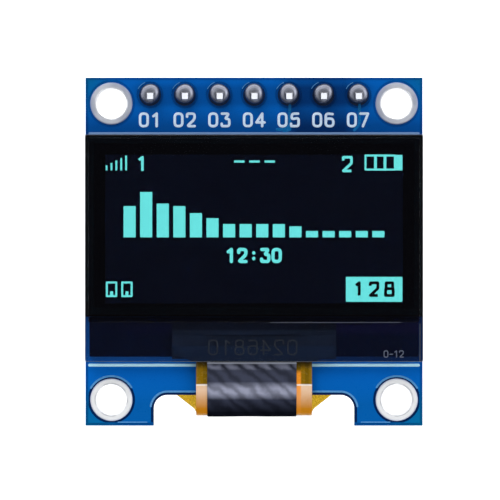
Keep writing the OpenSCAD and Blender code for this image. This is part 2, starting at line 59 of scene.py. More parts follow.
import bpy
import numpy as np
from bpy.props import FloatProperty, FloatVectorProperty, PointerProperty
from bpy.types import Operator, Panel, PropertyGroup
from mathutils import Matrix, Vector

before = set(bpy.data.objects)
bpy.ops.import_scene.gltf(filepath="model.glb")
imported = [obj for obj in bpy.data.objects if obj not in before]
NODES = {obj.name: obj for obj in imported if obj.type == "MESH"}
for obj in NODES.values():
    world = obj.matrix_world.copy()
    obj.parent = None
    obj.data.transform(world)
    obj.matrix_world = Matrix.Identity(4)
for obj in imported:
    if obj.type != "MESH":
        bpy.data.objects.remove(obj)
CAD_LOW, CAD_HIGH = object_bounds()


def box(node):
    """Lowest and highest corner of a node of the frame, as arrays in millimetres."""
    low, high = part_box(node)
    return np.array(low) * 1000, np.array(high) * 1000


def shade(red, green, blue):
    """Linear colour of a display colour given in 0 to 255: the usual power curve."""
    value = np.array([red, green, blue]) / 255
    return tuple(np.where(value <= 0.04045, value / 12.92, ((value + 0.055) / 1.055) ** 2.4))


def tinted(colour, share):
    """A colour with each of its parts scaled by a share."""
    return tuple(share * c for c in colour)


# Heights and places that the pieces share, from the frame's own nodes where it has them
BOARD_LOW, BOARD_HIGH = box("circuit_board")
BOARD_T = 1.2
FILL_Z = BOARD_HIGH[2]
GLASS_LOW, GLASS_HIGH = box("front_glass")
FILM_LOW, FILM_HIGH = box("polarizer_film")
LIT_LOW, LIT_HIGH = box("lit_segments")
DOTS_ACROSS = 128
DOT = (LIT_HIGH[0] - LIT_LOW[0]) / DOTS_ACROSS
GLOW_LOW, GLOW_HIGH = LIT_LOW[2] + 0.003, LIT_HIGH[2] - 0.003
TAPE_LOW, TAPE_HIGH = box("flex_cover_tape")
FLEX_LOW, FLEX_HIGH = box("flex_cable")
HEAD_END = box("chip_shield_tape")[0][1] + 0.95
PIN_COUNT = 7
PINS = [sum(box(f"header_pin_{i + 1}")) / 2 for i in range(PIN_COUNT)]
RINGS = [sum(box(f"mount_ring_{i + 1}")) / 2 for i in range(4)]
HOLE_R = 1.1


# ---- shapes: each returns points and faces, in millimetres ----


def outward(points, quads, triangles):
    """Turns the faces round if the volume that they enclose comes out negative."""
    a, b, c, d = (points[quads[:, k]] for k in range(4))
    volume = np.einsum("ij,ij->", a, np.cross(b, c)) + np.einsum("ij,ij->", a, np.cross(c, d))
    if len(triangles):
        e, f, g = (points[triangles[:, k]] for k in range(3))
        volume += np.einsum("ij,ij->", e, np.cross(f, g))
    if volume < 0:
        quads, triangles = quads[:, ::-1], triangles[:, ::-1]
    return points, quads.tolist() + triangles.tolist()


def skin(grid, looped=False):
    """Closed skin over a grid of points (along, around): every cell is a quad and the second
    direction closes on itself. The first one closes too if looped, and otherwise each end
    gets a fan to the mean of its ring."""
    along, around, _ = grid.shape
    index = np.arange(along * around).reshape(along, around)
    index = np.hstack([index, index[:, :1]])
    points = grid.reshape(-1, 3)
    triangles = np.zeros((0, 3), int)
    if looped:
        index = np.vstack([index, index[:1]])
    else:
        first, last = index[0], index[-1]
        points = np.vstack([points, grid[0].mean(0), grid[-1].mean(0)])
        tip = np.full(around, along * around)
        triangles = np.vstack([
            np.stack([first[1:], first[:-1], tip], -1),
            np.stack([last[:-1], last[1:], tip + 1], -1),
        ])
    quads = np.stack([index[:-1, :-1], index[:-1, 1:], index[1:, 1:], index[1:, :-1]], -1)
    return outward(points, quads.reshape(-1, 4), triangles)


def revolve(profile, centre, steps=64, ripple=0.0, phase=0.0, looped=False):
    """Carries a profile of (radius, height) round a vertical axis. The radius is scaled by
    1 + ripple times a sum of a two-fold and a three-fold sine of the angle."""
    profile = np.asarray(profile, float)
    angle = np.arange(steps) / steps * 2 * np.pi
    swell = 1 + ripple * (np.sin(2 * angle + phase) + 0.6 * np.sin(3 * angle - 2 * phase))
    radius = profile[:, :1] * swell
    grid = np.stack([
        centre[0] + radius * np.cos(angle),
        centre[1] + radius * np.sin(angle),
        np.repeat(profile[:, 1:], steps, 1),
    ], -1)
    return skin(grid, looped)


def rounded_ring(half_x, half_y, corner, steps=6):
    """Outline of a rectangle with round corners: in each quarter the corner's centre plus its
    radius times (cos, sin) of the angle."""
    turn = np.linspace(0, np.pi / 2, steps)
    angle = np.concatenate([turn + k * np.pi / 2 for k in range(4)])
    side = np.repeat([[1, 1], [-1, 1], [-1, -1], [1, -1]], steps, 0)
    centre = side * (np.array([half_x, half_y]) - corner)
    return centre + corner * np.stack([np.cos(angle), np.sin(angle)], -1)


def cushion(low, high, corner=0.1, edge=0.05, steps=4, corner_steps=6):
    """Block with round upright corners and softened upper and lower edges: the outline above,
    drawn in by edge times 1 minus the cosine as the height climbs by edge times the sine."""
    low, high = np.asarray(low, float), np.asarray(high, float)
    half, centre = (high - low)[:2] / 2, (high + low)[:2] / 2
    turn = np.linspace(np.pi / 2, 0, steps)
    inset = edge * (1 - np.cos(turn))
    rise = edge * (1 - np.sin(turn))
    inner = [edge * 1.6]
    insets = np.concatenate([inner, inset, inset[::-1], inner])
    heights = np.concatenate([[low[2]], low[2] + rise, high[2] - rise[::-1], [high[2]]])
    rings = np.stack([
        rounded_ring(half[0] - k, half[1] - k, max(corner - k, corner * 0.3), corner_steps)
        for k in insets
    ])
    grid = np.concatenate([
        rings + centre,
        np.broadcast_to(heights[:, None, None], rings.shape[:2] + (1,)),
    ], -1)
    return skin(grid)


def smooth_path(corners, radius, closed=False, steps=6):
    """Line through corners with each one rounded by a quadratic curve that starts and ends
    the radius away from it, or half the shorter side where that is less."""
    corners = np.asarray(corners, float)
    before, after = np.roll(corners, 1, 0), np.roll(corners, -1, 0)
    back, ahead = before - corners, after - corners
    back_l = np.linalg.norm(back, axis=1, keepdims=True)
    ahead_l = np.linalg.norm(ahead, axis=1, keepdims=True)
    reach = np.minimum(radius, np.minimum(back_l, ahead_l) * 0.499)
    start = corners + back / back_l * reach
    end = corners + ahead / ahead_l * reach
    t = np.linspace(0, 1, steps)[None, :, None]
    curve = (1 - t) ** 2 * start[:, None] + 2 * t * (1 - t) * corners[:, None]
    curve = curve + t**2 * end[:, None]
    if closed:
        return curve.reshape(-1, 2)
    return np.vstack([corners[:1], curve[1:-1].reshape(-1, 2), corners[-1:]])


# Depth that a stroke's foot sinks into the surface
STROKE_SINK = 0.004


def stroke(path, width, base, height, closed=False, sides=9, square=False):
    """Low bead of ink or metal along a line in the board's plane. Its section is half an
    ellipse on a flat foot that sinks a little into the surface; the offset sideways follows
    the mitre of the line, and the ends are half circles, unless they are square: the width
    falls as the root of 1 minus the square of the distance past the line's end."""
    path = np.asarray(path, float)
    step = np.linalg.norm(np.diff(path, axis=0), axis=1)
    path = path[np.concatenate([[True], step > 1e-6])]
    scale = np.ones(len(path))
    if not closed:
        past = np.sin(np.linspace(0, np.pi / 2, 6))[1:] * (0.001 if square else 1)
        first = path[0] - path[1]
        last = path[-1] - path[-2]
        first, last = (v / np.linalg.norm(v) for v in (first, last))
        tips = past[:, None] * width / 2
        path = np.vstack([path[0] + first * tips[::-1], path, path[-1] + last * tips])
        cut = np.ones(5) if square else np.sqrt(np.clip(1 - past**2, 0.0004, 1))
        scale = np.concatenate([cut[::-1], scale, cut])
    gap = np.roll(path, -1, 0) - path
    if closed:
        back = path - np.roll(path, 1, 0)
    else:
        gap[-1] = gap[-2]
        back = np.vstack([gap[:1], gap[:-1]])
    gap, back = (v / np.linalg.norm(v, axis=1, keepdims=True) for v in (gap, back))
    mean = gap + back
    mean /= np.linalg.norm(mean, axis=1, keepdims=True)
    mitre = 1 / np.clip(np.sum(mean * gap, 1, keepdims=True), 0.5, 1)
    side = np.stack([-mean[:, 1], mean[:, 0]], -1) * mitre
    angle = np.linspace(0, np.pi, sides)
    across, lift = np.cos(angle), np.sin(angle) ** 0.6
    grid = np.empty((len(path), sides + 2, 3))
    offset = across[None, :, None] * width / 2 * scale[:, None, None]
    grid[:, :sides, :2] = path[:, None] + side[:, None] * offset
    grid[:, :sides, 2] = base + height * lift * np.sqrt(scale)[:, None]
    grid[:, sides, :2], grid[:, sides + 1, :2] = grid[:, sides - 1, :2], grid[:, 0, :2]
    grid[:, sides:, 2] = base - STROKE_SINK
    return skin(grid, looped=closed)


# Strokes of the plain numerals, in a cell 0.6 wide and 1 high: corners, rounding, closed
NUMERALS = {
    "0": [([(0, 0), (0.6, 0), (0.6, 1), (0, 1)], 0.28, True)],
    "1": [([(0.08, 0.8), (0.34, 1), (0.34, 0)], 0.02, False)],
    "2": [([(0, 0.76), (0, 1), (0.6, 1), (0.6, 0.56), (0, 0), (0.6, 0)], 0.22, False)],
    "3": [([(0.02, 1), (0.58, 1), (0.26, 0.58), (0.6, 0.58), (0.6, 0), (0, 0), (0, 0.2)],
           0.2, False)],
    "4": [([(0.46, 0), (0.46, 1), (0, 0.3), (0.64, 0.3)], 0.01, False)],
    "5": [([(0.55, 1), (0.07, 1), (0.03, 0.55), (0.6, 0.66), (0.6, 0), (0, 0), (0, 0.18)],
           0.2, False)],
    "6": [([(0.54, 0.96), (0, 1.02), (0, 0), (0.6, 0), (0.6, 0.6), (0.04, 0.6), (0.02, 0.36)],
           0.26, False)],
    "7": [([(0, 1), (0.6, 1), (0.2, 0)], 0.02, False)],
    "8": [([(0.04, 0.54), (0.56, 0.54), (0.56, 1), (0.04, 1)], 0.2, True),
          ([(0, 0), (0.6, 0), (0.6, 0.54), (0, 0.54)], 0.24, True)],
    "9": [([(0.06, 0.04), (0.6, -0.02), (0.6, 1), (0, 1), (0, 0.4), (0.56, 0.4),
            (0.58, 0.64)], 0.26, False)],
    ":": [([(0.3, 0.24), (0.3, 0.26)], 0, False), ([(0.3, 0.7), (0.3, 0.72)], 0, False)],
    "-": [([(0.1, 0.46), (0.5, 0.46)], 0, False)],
}


def numerals(text, centre, size, pen, base, height, pitch=0.86, rounding=1.0, mirror=False,
             square=False):
    """Strokes of a run of numerals, centred in the plane: size is the height over the pen's
    middle line, and pitch the step from one cell to the next as a share of it."""
    made = []
    wide = (len(text) - 1) * pitch + 0.6
    for place, sign in enumerate(text):
        for corners, radius, closed in NUMERALS[sign]:
            path = np.array(corners, float) + [place * pitch - wide / 2, -0.5]
            path[:, 0] *= -1 if mirror else 1
            path = path * size + centre[:2]
            if radius:
                path = smooth_path(path, radius * size * rounding + 1e-4, closed)
            made.append(stroke(path, pen, base, height, closed, square=square))
    return made


# ---- making the objects ----


def make_piece(name, parts, material, stands_for=(), sharp=38.0):
    """Joins parts of points and faces into one mesh in metres, smooth but for creases sharper
    than the given angle, and lets it ride on the module's one body."""
    points, faces, start = [], [], 0
    for part_points, part_faces in parts:
        points.append(part_points)
        faces += [[start + k for k in face] for face in part_faces]
        start += len(part_points)
    mesh = bpy.data.meshes.new(name)
    mesh.from_pydata((np.vstack(points) / 1000).tolist(), [], faces)
    mesh.shade_smooth()
    mesh.set_sharp_from_angle(angle=math.radians(sharp))
    mesh.materials.append(material)
    mesh.validate()
    piece = bpy.data.objects.new(name, mesh)
    bpy.context.scene.collection.objects.link(piece)
    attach(piece, "root")
    if stands_for:
        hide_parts(*stands_for)
    return piece


def finish_node(node, material):
    """Gives a solid of the frame its finished material."""
    piece = NODES[node]
    piece.data.materials.clear()
    piece.data.materials.append(material)


# ---- materials ----


class Finish:
    """A material being mixed: its nodes, its shader and the steps used on this module."""

    def __init__(self, name, **sockets):
        self.material = bpy.data.materials.new(name)
        self.material.use_nodes = True
        self.tree = self.material.node_tree
        self.shader = self.tree.nodes["Principled BSDF"]
        for socket, value in sockets.items():
            self.feed(self.shader, socket, value)

    @classmethod
    def over(cls, material):
        """Takes up a mixed material again, with its colour as the base."""
        made = cls.__new__(cls)
        made.material, made.tree = material, material.node_tree
        made.shader = made.tree.nodes["Principled BSDF"]
        made.base = made.shader.inputs["Base Color"].links[0].from_socket
        return made

    def feed(self, node, socket, value):
        """Links a socket, or sets its own value; a colour gets its alpha."""
        place = int(socket[1:]) if socket[1:].isdigit() else socket.replace("_", " ")
        target = node.inputs[place]
        if isinstance(value, bpy.types.NodeSocket):
            self.tree.links.new(value, target)
        elif target.type == "RGBA":
            target.default_value = (*tuple(value)[:3], 1)
        else:
            target.default_value = value

    def node(self, kind, settings=None, out=0, **sockets):
        """A node with its settings and sockets; returns its output."""
        made = self.tree.nodes.new("ShaderNode" + kind)
        for key, value in (settings or {}).items():
            setattr(made, key, value)
        for socket, value in sockets.items():
            self.feed(made, socket, value)
        return made.outputs[out]

    def place(self, scale=(1, 1, 1)):
        """Object coordinates in millimetres, scaled."""
        coordinates = self.node("TexCoord", out=3)
        return self.node("Mapping", Vector=coordinates, Scale=tuple(1000 * s for s in scale))

    def split(self, vector):
        """The three parts of a vector, each by itself."""
        made = self.tree.nodes.new("ShaderNodeSeparateXYZ")
        self.tree.links.new(vector, made.inputs[0])
        return made.outputs

    def axes(self):
        """The three coordinates of the surface, in millimetres."""
        return self.split(self.place())

    def facing(self):
        """How far the surface looks up or down: the height of its true normal."""
        return self.split(self.node("NewGeometry", out=3))[2]

    def noise(self, scale, detail=3.0, roughness=0.5, stretch=(1, 1, 1)):
        """Cloudy value round 0.5, with scale in features to a millimetre."""
        return self.node("TexNoise", Vector=self.place(stretch), Scale=scale, Detail=detail,
                         Roughness=roughness)

    def reach(self, value, low, high, to_low=0.0, to_high=1.0):
        """Carries a value from one range to another and holds it there."""
        return self.node("MapRange", _0=value, _1=low, _2=high, _3=to_low, _4=to_high)

    def band(self, value, low, high, soft=0.05):
        """1 between two limits, falling to 0 over a soft distance past them."""
        return self.times(self.reach(value, low - soft, low),
                          self.reach(value, high, high + soft, 1, 0))

    def step(self, operation, first, second=0.0):
        """One step of arithmetic on one or two values."""
        return self.node("Math", {"operation": operation}, _0=first, _1=second)

    def plus(self, first, second):
        return self.step("ADD", first, second)

    def less(self, first, second):
        return self.step("SUBTRACT", first, second)

    def larger(self, first, second):
        return self.step("MAXIMUM", first, second)

    def unsigned(self, value):
        return self.step("ABSOLUTE", value)

    def times(self, *values):
        """Product of values."""
        product = values[0]
        for value in values[1:]:
            product = self.step("MULTIPLY", product, value)
        return product

    def blend(self, amount, low, high):
        """Colour between two others."""
        return self.node("Mix", {"data_type": "RGBA"}, out=2, _0=amount, _6=low, _7=high)

    def lay(self, colour, *shares):
        """Lays a colour over the base, by the product of shares."""
        self.base = self.blend(self.times(*shares), self.base, colour)

    def relief(self, height, depth, strength):
        """Bump from a value of 0 to 1 that stands for depth in millimetres."""
        normal = self.node("Bump", Strength=strength, Distance=depth / 1000, Height=height)
        self.feed(self.shader, "Normal", normal)

    def colour(self, value):
        """Sets the colour, and gives back the material."""
        self.feed(self.shader, "Base Color", value)
        return self.material

    def roughness(self, value, low, high):
        """Roughness between two limits, over the middle of a cloudy value's range."""
        self.feed(self.shader, "Roughness", self.reach(value, 0.3, 0.7, low, high))


def grainy(name, low, high, grain, gloss, depth, strength, **sockets):
    """Surface with one fine grain in its colour, its roughness and its relief."""
    made = Finish(name, **sockets)
    cloud = made.noise(*grain)
    made.roughness(cloud, *gloss)
    made.relief(cloud, depth, strength)
    return made.colour(made.blend(cloud, low, high))


def cloudy(name, colour, low, high, scale, spread=1.5, **sockets):
    """Smooth surface whose colour and roughness drift slowly, with no relief."""
    made = Finish(name, **sockets)
    cloud = made.noise(scale, 3)
    made.roughness(cloud, low, high)
    return made.colour(made.blend(cloud, colour, tinted(colour, spread)))


# ---- sizes and colours that a user may change ----


def colour_of(name, description, red, green, blue):
    """A colour, given as a display colour in 0 to 255."""
    return FloatVectorProperty(name=name, description=description, subtype="COLOR", size=3,
                               min=0, max=1, default=shade(red, green, blue))


def length_of(name, description, millimetres):
    """A length, given in millimetres."""
    return FloatProperty(name=name, description=description, subtype="DISTANCE",
                         unit="LENGTH", min=0, precision=5, default=millimetres / 1000)


def share_of(name, description, value):
    """A share between 0 and 1."""
    return FloatProperty(name=name, description=description, subtype="FACTOR", min=0, max=1,
                         default=value)


class DISPLAY_PG_board(PropertyGroup):
    mask: colour_of("Mask", "Solder mask over the copper fill", 0, 87, 162)
    # Painted light: lighter mask from a little below the panel upwards, against the panel's
    # shadow
    mask_painted_light: colour_of("Mask Painted Lighter", "Mask on the stretch under the panel", 0, 99, 192)
    mask_teal: colour_of("Thin Mask", "Mask where it lies thin, at the corners", 0, 104, 150)
    # Dark mask: the gaps without copper, and painted shade under the panel and between the pins
    dark_mask: colour_of("Dark Mask", "Mask in the gaps without copper, and painted shade", 0, 24, 70)
    # Painted highlight on the mask's ridges along the fill's edges, drawn only where the edges
    # catch the light
    fill_edge_highlight: colour_of("Fill Edge Highlight", "Mask where it climbs the fill's edge", 84, 148, 205)
    core: colour_of("Core", "Cut edge of the laminate", 168, 172, 128)
    ridge_w: length_of("Edge Width", "Width of the mask's bright edge", 0.145)
    trace_w: length_of("Trace Width", "Width of a trace under the mask", 0.22)
    trace_h: length_of("Trace Height", "Height of a trace under the mask", 0.02)


class DISPLAY_PG_ink(PropertyGroup):
    ink: colour_of("Ink", "Screen-printed ink of the board", 206, 226, 248)
    line_top: colour_of("Upper Line", "Ink of the line over the panel", 112, 142, 186)
    line_low: colour_of("Lower Line", "Ink of the line under the panel", 192, 240, 255)
    numeral_h: length_of("Numeral Height", "Height of the pin numbers", 0.92)
    pen_w: length_of("Pen Width", "Stroke width of the pin numbers", 0.19)
    ink_t: length_of("Ink Thickness", "Thickness of the ink", 0.018)
    numeral_gap: length_of("Numeral Gap", "Distance from the pin row down to the numbers", 1.83)


class DISPLAY_PG_metal(PropertyGroup):
    tin: colour_of("Tin", "Tinned rings and leads", 250, 252, 255)
    pad: colour_of("Pad", "Pads under the solder, stained by the flux", 58, 74, 108)
    solder: colour_of("Solder", "Solder cones and fillets", 176, 180, 196)
    # Painted shade for the foot and the lower side of the solder cones
    solder_shade: colour_of("Solder Shade", "Foot of the solder cones", 42, 52, 72)
    pin: colour_of("Pin", "Plated header pins", 160, 162, 168)
    # Painted highlight on the pins' upward cut faces
    pin_tip_highlight: colour_of("Pin Tip Highlight", "Cut upper ends of the pins", 228, 232, 242)
    crown: length_of("Crown", "Height of a ring's crown over the board", 0.07)
    ripple: share_of("Ripple", "Unevenness of the solder cones", 0.03)
    pin_lean: length_of("Pin Lean", "Distance that the pins' upper tips lean to one side", 0.12)


class DISPLAY_PG_screen(PropertyGroup):
    film: colour_of("Film", "Polarizer over the picture", 4, 4, 8)
    film_cover: share_of("Film Cover", "Share of the light that one face of the film keeps", 0.35)
    glow: colour_of("Glow", "Lit parts of the picture", 107, 226, 221)
    glow_level: FloatProperty(name="Glow Level", min=0, default=2.75,
                              description="Brightness of the lit parts under the film")
    glass: colour_of("Glass", "Tint of the glass", 240, 244, 248)
    glass_edge: length_of("Glass Edge", "Rounding of the glass's ground edge", 0.06)
    shield: colour_of("Chip Tape", "Tape behind the driver chip", 24, 36, 58)
    # Painted shade: the dark strip under the ledge stands for the shade there, and the chip's
    # tape takes this colour as its shadow
    foam: colour_of("Foam", "Painted shade under the glass ledge and on the chip's tape", 0, 9, 36)
    # Painted highlights: the glints along the ledge's right edge and the film's lower edge
    bead: colour_of("Glue", "Glue line along the ledge's edge", 84, 90, 108)
    marking: colour_of("Marking", "Small number on the glass ledge", 150, 156, 176)


class DISPLAY_PG_flex(PropertyGroup):
    film: colour_of("Film", "Amber film of the flex cable", 200, 146, 16)
    film_dark: colour_of("Film Over Copper", "Film where it covers the tracks", 108, 84, 8)
    # Painted light: the flared tail under the board is painted lighter against its shade
    film_tail_painted_light: colour_of("Tail Film Painted Light", "Film of the flared tail", 255, 214, 60)
    # Painted sheen on the film where it starts to bend
    film_sheen: colour_of("Film Sheen", "Painted sheen where the film bends", 222, 188, 158)
    film_turned: colour_of("Turned Film", "Film where the bend turns down", 196, 124, 4)
    film_edge: colour_of("Film Beside Tape", "Brighter film along one side of the tape", 240, 146, 40)
    tape: colour_of("Tape", "Cover tape of the neck", 46, 50, 66)
    # Painted sheen on the tape along its crease and near its upper edge
    tape_sheen: colour_of("Tape Sheen", "Tape along its crease", 158, 162, 184)
    # Painted highlight along the tape's upper edge
    tape_edge_highlight: colour_of("Tape Edge Highlight", "Tape along its upper edge", 190, 194, 206)
    wave: length_of("Waviness", "Depth of the film's gentle waves", 0.012)


class DISPLAY_PG_parts(PropertyGroup):
    ceramic: colour_of("Ceramic", "Body of the chip capacitors", 166, 134, 96)
    coat: colour_of("Coat", "Black coat of the chip resistors", 26, 27, 30)
    moulding: colour_of("Moulding", "Epoxy of the moulded parts", 30, 31, 34)
    end_l: length_of("End Length", "Length of the chip parts' metal ends", 0.3)


class DISPLAY_PG_stage(PropertyGroup):
    floor: colour_of("Floor", "Pale floor under the module", 236, 237, 240)
    floor_glow: share_of("Floor Glow", "Own light of the floor as the camera sees it", 0.8)
    key_power: FloatProperty(name="Key Light", min=0, default=1.0,
                             description="Strength of the main lamp, as a share")
    sky: FloatProperty(name="Sky", min=0, default=0.62,
                       description="Strength of the even light from the sides")
    sky_top: FloatProperty(name="Sky Above", min=0, default=0.03,
                           description="Strength of the light from straight above")
    distance: length_of("Camera Distance", "Distance from the module to the camera", 401.2)
    lens: FloatProperty(name="Lens", subtype="DISTANCE_CAMERA", min=1, default=393.1,
                        description="Focal length of the camera")


GROUPS = {
    "display_board": DISPLAY_PG_board,
    "display_ink": DISPLAY_PG_ink,
    "display_metal": DISPLAY_PG_metal,
    "display_screen": DISPLAY_PG_screen,
    "display_flex": DISPLAY_PG_flex,
    "display_parts": DISPLAY_PG_parts,
    "display_stage": DISPLAY_PG_stage,
}


# ---- board ----


def masked_board(look):
    """Blue mask: lighter over the copper fill, dark in its gaps, teal towards the corners,
    and the bare laminate on the cut edges. It is painted lighter from a little below the
    panel upwards, against the panel's shadow on the strip below it; the board under the
    panel and the row between the pins get painted shade, and the strip above the panel is
    darker, most by the panel's edge."""
    made = Finish("Blue_Solder_Mask", Specular_IOR_Level=0.14)
    x, y, z = made.axes()
    wide, tall = made.unsigned(x), made.unsigned(y)
    made.base = look.mask
    # Painted light: the mask is lighter from a little below the panel upwards, to offset the
    # shadow that the panel casts on the strip below it
    made.lay(look.mask_painted_light, made.reach(y, -11.2, -9.0))
    made.lay(look.mask_teal, made.reach(wide, 9.5, 12.4), made.reach(tall, 9.5, 12.6),
             made.reach(made.noise(0.12, 2), 0.35, 0.6, 0.5, 1.2))
    front = made.reach(z, 0.6, 0.61)
    # Darker over the upper half of the front: most by the panel's upper edge and less at the pin
    # row, with a darker patch right of the middle and painted shade in the row between the pins
    head = made.times(made.reach(y, -1, 1), front)
    patch = made.times(made.band(x, 3.2, 6.6, 1.4), 0.34)
    row = made.times(made.band(y, 10.9, 12.0, 0.4), made.reach(wide, 8.3, 9.3, 0.2, 0))
    dim = made.plus(made.reach(y, 9.2, 10.4, 0.56, 0.3), made.plus(patch, row))
    made.lay(look.dark_mask, head, dim)
    rim = made.larger(made.reach(wide, 12.08, 12.12), made.reach(tall, 12.48, 12.52))
    calm = made.larger(made.times(rim, 0.55), made.times(head, 0.6))
    made.lay(look.dark_mask, front, made.reach(z, BOARD_T + 0.003, FILL_Z - 0.007, 1, 0),
             made.less(0.94, calm))
    # Painted shade on the board under the panel, deeper towards the right
    made.lay(look.dark_mask, made.band(y, GLASS_LOW[1] + 0.06, 8.5, 0.08), front,
             made.reach(x, -12, 9, 0.3, 0.9))
    core = made.blend(made.noise(6, 4, 0.7, (0.3, 0.3, 4)), look.core, shade(120, 128, 84))
    made.lay(core, made.reach(made.unsigned(made.facing()), 0.3, 0.5, 1, 0),
             made.reach(z, BOARD_T - 0.03, BOARD_T, 1, 0))
    grain = made.noise(9, 3)
    made.roughness(grain, 0.26, 0.36)
    made.relief(made.plus(grain, made.noise(1.1, 2)), 0.004, 0.5)
    return made.colour(made.base)


def mask_over_copper(name, colour):
    """Mask that stands over a trace or climbs an edge, a little uneven in depth."""
    return grainy(name, tinted(colour, 0.82), colour, (5, 3), (0.22, 0.34), 0.003, 0.4,
                  Specular_IOR_Level=0.3)


def arc_line(centre, radius, first, last, steps=28):
    """Points of an arc between two angles in degrees."""
    angle = np.radians(np.linspace(first, last, steps))
    return np.stack([centre[0] + radius * np.cos(angle), centre[1] + radius * np.sin(angle)], -1)


# Margin of the copper fill, and the notch: its upper edge, half its width, its corners' radius
FILL_INSET = 0.2
NOTCH_Y = -10.5
NOTCH_HALF = 7.35
NOTCH_R = 1.0
# Radii of the gaps that the fill leaves round a mounting ring and a pad
RING_GAP_R = 1.73
PAD_GAP_R = 0.98


def fill_edges(width):
    """Ridges of mask along the copper fill's edges, drawn only where they catch the light and
    coloured as a painted highlight: arcs over the lower rings and by the pads, the line
    that follows the notch with its round corners, and a short one at the foot of each side."""
    made = []
    z = FILL_Z - 0.004
    for centre in RINGS[2:]:
        inner = 1 if centre[0] < 0 else -1
        arc = arc_line((0, 0), RING_GAP_R, 150, 32)
        made.append(stroke(arc * [inner, 1] + centre[:2], width, z, 0.014))
    for centre in PINS:
        made.append(stroke(arc_line(centre, PAD_GAP_R, 152, 112, 12), width * 0.35, z, 0.006))
    corner = arc_line((NOTCH_HALF - 0.02 - NOTCH_R, NOTCH_Y - NOTCH_R),
                      NOTCH_R + FILL_INSET + 0.05, 8, 90)
    line = np.vstack([corner, [[0.0, corner[-1][1]]]])
    foot = BOARD_LOW[1] + FILL_INSET + 0.06
    post = np.array([[NOTCH_HALF + 0.5, foot], [NOTCH_HALF + 2.6, foot]])
    for side in (-1, 1):
        made.append(stroke(line * [side, 1], width, z, 0.014))
        made.append(stroke(post * [side, 1], width * 0.5, z, 0.008))
    return made


def fan(count, *corners):
    """Like traces side by side. A corner is its place in the first trace, and its step from
    one trace to the next: x, step of x, y, step of y."""
    return [[(x + across * i, y + along * i) for x, across, y, along in corners]
            for i in range(count)]


# Traces of the front and the rear: corners in the board's plane
FRONT_TRACES = [
    [(2.62, 10.85), (2.62, 8.95)],
    [(7.72, 10.9), (7.72, 9.3), (7.35, 8.9)],
    [(2.62, 8.95), (2.2, 8.78)],
    [(1.7, 8.95), (2.3, 8.95), (2.62, 9.3)],
]
REAR_TRACES = [
    *fan(7, (-7.62, 2.54, 10.3, 0), (-7.62, 2.54, 9.5, -0.22), (-9.0, 2.3, 8.8, -0.1)),
    *fan(8, (-8.4, 2.4, 3.9, 0), (-8.4, 2.4, 4.9, 0), (-8.0, 2.2, 5.4, 0)),
    *fan(8, (-8.4, 2.4, 1.2, 0), (-8.4, 2.4, 0.2, 0), (-7.6, 2.1, -0.6, 0)),
    *[[(-7.13 + 1.24 * i, -4.3), (-7.13 + 1.24 * i, -3.4 + 0.1 * (i % 3)),
       (-6.7 + 1.15 * i, -2.7)] for i in range(12)],
    [(-11.6, -9.0), (-11.6, 6.2), (-10.9, 7.0)],
    [(11.6, -9.0), (11.6, 4.2), (10.6, 5.2)],
]
# Places of the vias that the rear traces lead to
REAR_VIAS = np.vstack([fan(8, (-8.0, 2.2, 5.5, 0)), fan(8, (-7.6, 2.1, -0.7, 0)),
                       fan(12, (-6.7, 1.15, -2.6, 0))])[:, 0]


def traces(routes, width, base, height):
    """Low beads along a set of routes, with their corners rounded."""
    return [stroke(smooth_path(route, 0.25), width, base, height) for route in routes]


def turned_over(parts):
    """The same parts on the rear face: heights change sign and the faces are reversed."""
    return [(points * [1, 1, -1], [face[::-1] for face in faces]) for points, faces in parts]


class DISPLAY_OT_board(Operator):
    """Finish the circuit board: mask, bright fill edges, traces and vias"""

    bl_idname = "display.board"
    bl_label = "Circuit Board"

    def execute(self, context):
        look = context.scene.display_board
        finish_node("circuit_board", masked_board(look))
        width, trace_w, trace_h = (1000 * v for v in (look.ridge_w, look.trace_w, look.trace_h))
        # The ridges along the fill's edges are real; their pale colour is a painted highlight
        lit = mask_over_copper("Mask_Fill_Edge_Highlight", look.fill_edge_highlight)
        make_piece("fill_edges", fill_edges(width), lit)
        over = mask_over_copper("Mask_Over_Trace", shade(10, 104, 170))
        front = traces(FRONT_TRACES, trace_w, FILL_Z - 0.01, trace_h)
        rear = traces(REAR_TRACES, trace_w * 0.9, 0, trace_h)
        dome = [(0.24, -0.005), (0.24, 0.004), (0.18, 0.012), (0.1, 0.008), (0.04, 0.002)]
        rear += [revolve(dome, via, 20) for via in REAR_VIAS]
        make_piece("mask_traces_front", front, over)
        make_piece("mask_traces_rear", turned_over(rear), over)
        return {"FINISHED"}


# ---- ink ----


def printed_ink(name, colour, lines=None):
    """Ink from a screen: a fine grain, slightly thin in places. The line above the panel and
    the one below it may have their own colours."""
    made = Finish(name, Specular_IOR_Level=0.3)
    grain = made.noise(14, 3, 0.6)
    made.roughness(grain, 0.5, 0.65)
    made.relief(grain, 0.004, 0.6)
    made.base = made.blend(made.reach(grain, 0.35, 0.6), tinted(colour, 0.86), colour)
    if lines:
        y = made.axes()[1]
        made.lay(lines[0], made.reach(y, 8.8, 8.82, 1, 0))
        made.lay(lines[1], made.reach(y, 0, 0.1, 1, 0))
    return made.colour(made.base)


